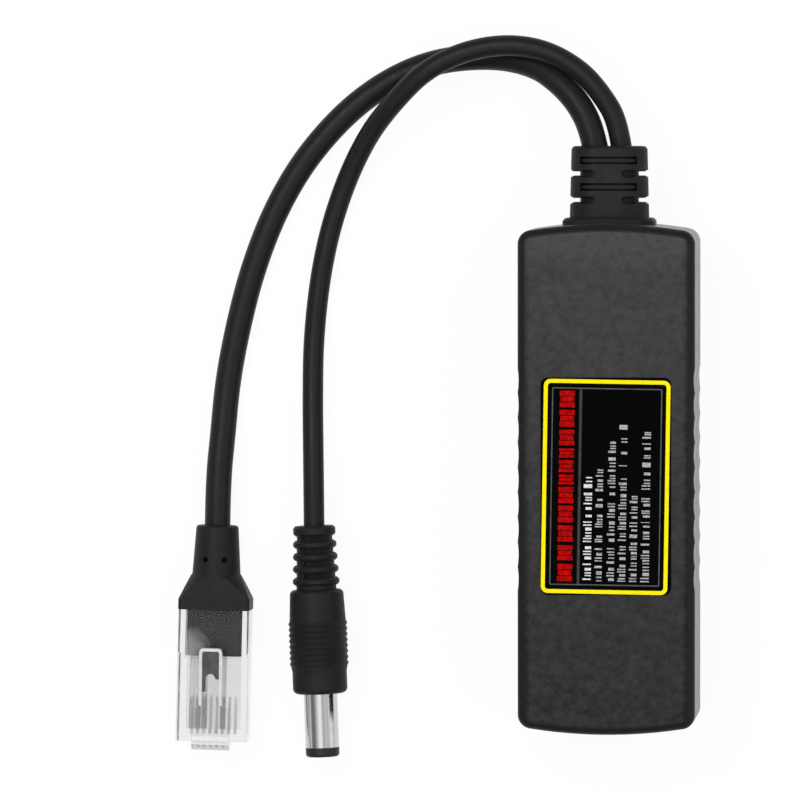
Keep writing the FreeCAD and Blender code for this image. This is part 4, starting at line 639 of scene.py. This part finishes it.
LATCH_RIM = [
    (-1.88, -29.2), (-1.88, -20.4), (-1.72, -19.95), (-1.35, -19.75), (1.35, -19.75), (1.72, -19.95),
    (1.88, -20.4), (1.88, -29.2), (1.45, -29.2), (1.40, -20.6), (1.22, -20.25), (-1.22, -20.25),
    (-1.40, -20.6), (-1.45, -29.2)]
RIM_LIFT = 0.12
RIM_GAUGE = 0.16
LATCH_PANEL = [
    (-1.38, -20.7), (-1.2, -20.3), (1.2, -20.3), (1.38, -20.7), (1.38, -24.9),
    *arc(0, -24.7, 0.76, 0, 180, 9), (-0.80, -26.9), (-1.38, -26.9)]
PANEL_LIFT = 0.03
PANEL_GAUGE = 0.05
PLUG_EDGE = [(5.42, -13.8), (5.74, -13.8), (5.74, -20.6), (5.50, -21.1)]
EDGE_HEIGHT = 3.0
EDGE_GAUGE = 0.18
DIMPLE_PLACE = (1.55, -5.5)
DIMPLE_RADIUS = 0.44
DIMPLE_HEIGHT = 3.32
DIMPLE_GAUGE = 0.05
DIMPLE_STEPS = 24


def on_plug(name, corners, gauge, surface):
    """A thin plate under a flat outline."""
    outlines = [[(PLUG_PLACE + PLUG_TURN @ Vector((x, y, z - drop))) * MM for x, y, z in corners]
                for drop in (0, gauge)]
    plate(name, outlines, surface)


def on_tab(outline, lift):
    """An outline raised to the sloping top of the latch tab."""
    return [(x, y, TAB_TOP + TAB_SLOPE * (y - TAB_TAIL) + lift) for x, y in outline]


# A pale strip of painted highlight along the latch tab's rounded edges
TAB_EDGE_HIGHLIGHT = material("painted_rim_highlight", grey(0.60), 0.45, variation=0.1, patch=900.0, grain_strength=0.1)
# A dark sheet under the tab: painted reflection of the jacket end in the clear tab
DARK_REFLECTION_PANEL = material("painted_dark_reflection", grey(0.05), 0.3, variation=0.35, patch=700.0, grain_strength=0.1,
                 specular=0.3)
EDGE = material("shaded_edge", grey(0.26), 0.4, variation=0.25, patch=500.0, grain_strength=0.1,
                specular=0.2)
HOLLOW = material("dimple_shadow", grey(0.002), 0.8, variation=0.2, specular=0.01)

on_plug("latch_rim", on_tab(LATCH_RIM, RIM_LIFT), RIM_GAUGE, TAB_EDGE_HIGHLIGHT)
on_plug("latch_panel", on_tab(LATCH_PANEL, PANEL_LIFT), PANEL_GAUGE, DARK_REFLECTION_PANEL)
for side, name in ((-1, "left"), (1, "right")):
    edge = [(side * x, y, EDGE_HEIGHT) for x, y in PLUG_EDGE]
    on_plug("plug_edge_" + name, edge, EDGE_GAUGE, EDGE)
    disc = arc(side * DIMPLE_PLACE[0], DIMPLE_PLACE[1], DIMPLE_RADIUS, 0, 360, DIMPLE_STEPS)[:-1]
    on_plug("dimple_" + name, [(x, y, DIMPLE_HEIGHT) for x, y in disc], DIMPLE_GAUGE, HOLLOW)

# Ribs low in the slots of the cord gland, on its upper and lower faces, in millimetres

GLAND_MIDDLE = 11.5
GLAND_FLAT = 2.05
RIB_RADIUS = 3.75
RIB_HALF = 4.5
RIB_ROOT = 1.0
RIB_THICKNESS = 0.56
RIB_STEPS = 20
SLOTS = {"tip": 51.3, "root": 47.02}


def gland_rib(name, y, side):
    """A crowned rib across a slot, following the gland's round section."""
    places = [RIB_HALF * (2 * step / RIB_STEPS - 1) for step in range(RIB_STEPS + 1)]
    section = [(x, math.sqrt(RIB_RADIUS ** 2 - max(0.0, abs(x) - GLAND_FLAT) ** 2)) for x in places]
    section += [(RIB_HALF, RIB_ROOT), (-RIB_HALF, RIB_ROOT)]
    outlines = [[(x * MM, (y + shift) * MM, (GLAND_MIDDLE + side * rise) * MM) for x, rise in section]
                for shift in (-RIB_THICKNESS / 2, RIB_THICKNESS / 2)]
    plate(name, outlines, RUBBER)


for place, y in SLOTS.items():
    gland_rib("gland_rib_upper_" + place, y, 1)
    gland_rib("gland_rib_lower_" + place, y, -1)

# Surroundings: a pale floor, an even sky and a soft key light

WHITE = (1.0, 1.0, 1.0, 1.0)
FLOOR_COLOR = (0.95, 0.95, 0.95, 1.0)
FLOOR_HALF = 4.0
FLOOR_LEVEL = -0.00005
# Share of plain white in the floor where the camera, a reflection or clear plastic shows it
FLOOR_PLAIN = 0.94
# Brightness of the overhead panels by their slant from the vertical, across and along the housing
ACROSS = [(-90, 0.80), (-80, 0.70), (-62, 0.20), (-50, 0.16), (-36, 0.34), (-22, 0.70), (-10, 1.0),
          (1, 1.0), (12, 0.60), (20, 0.45), (32, 0.66), (46, 0.55), (68, 0.72), (90, 0.72)]
ALONG = [(-90, 0.10), (-55, 0.12), (-28, 0.9), (0, 1.0), (28, 1.0), (50, 0.25), (90, 0.10)]
SKY = 2.2
KEY_PLACE = Vector((-0.40, 0.42, 1.1))
KEY_SIZE = 0.5
KEY_POWER = 3.9


def stage_material():
    """A floor that takes some shadow and looks white to the camera and in reflections."""
    item, tree = new_material("floor_white")
    path = tree.add("ShaderNodeLightPath").outputs
    seen = tree.math("MAXIMUM", path["Is Camera Ray"],
                     tree.math("MAXIMUM", path["Is Glossy Ray"], path["Is Transmission Ray"]))
    lit = tree.put(tree.add("ShaderNodeBsdfDiffuse"), {"Color": FLOOR_COLOR})
    plain = tree.put(tree.add("ShaderNodeEmission"), {"Color": WHITE, "Strength": 1.0})
    tree.finish(tree.mix(tree.times(seen, FLOOR_PLAIN), lit, plain))
    return item


def make_floor():
    data = bpy.data.meshes.new("floor")
    corners = ((-1, -1), (1, -1), (1, 1), (-1, 1))
    data.from_pydata([(x * FLOOR_HALF, y * FLOOR_HALF, FLOOR_LEVEL) for x, y in corners], [],
                     [(0, 1, 2, 3)])
    data.materials.append(stage_material())
    add_object("floor", data)


def make_world():
    """Panels overhead that light the object, and plain white where the camera sees the sky."""
    world = bpy.data.worlds.new("studio")
    world.use_nodes = True
    scene.world = world
    tree = Nodes(world.node_tree)
    direction = tree.split(tree.add("ShaderNodeTexCoord").outputs["Generated"])
    panels = []
    for axis, levels in (("X", ACROSS), ("Y", ALONG)):
        angle = tree.math("ARCTAN2", direction[axis], direction["Z"])
        share = tree.spread(angle, 0.0, 1.0, -math.pi / 2, math.pi / 2)
        stops = [((degrees + 90) / 180, grey(level)) for degrees, level in levels]
        panels.append(tree.ramp(share, stops, "EASE"))
    sky = tree.times(tree.times(*panels), SKY)
    path = tree.add("ShaderNodeLightPath").outputs
    seen = tree.math("MAXIMUM", path["Is Camera Ray"], path["Is Transmission Ray"])
    lamps = tree.put(tree.add("ShaderNodeBackground"), {"Color": sky})
    plain = tree.put(tree.add("ShaderNodeBackground"), {"Color": WHITE})
    tree.finish(tree.mix(seen, lamps, plain), "ShaderNodeOutputWorld")


def make_key_lamp():
    data = bpy.data.lights.new("key", "AREA")
    data.shape = "DISK"
    data.size = KEY_SIZE
    data.energy = KEY_POWER
    lamp = add_object("key", data)
    lamp.location = KEY_PLACE
    lamp.rotation_mode = "QUATERNION"
    lamp.rotation_quaternion = (-KEY_PLACE).to_track_quat("-Z", "Y")


make_floor()
make_world()
make_key_lamp()
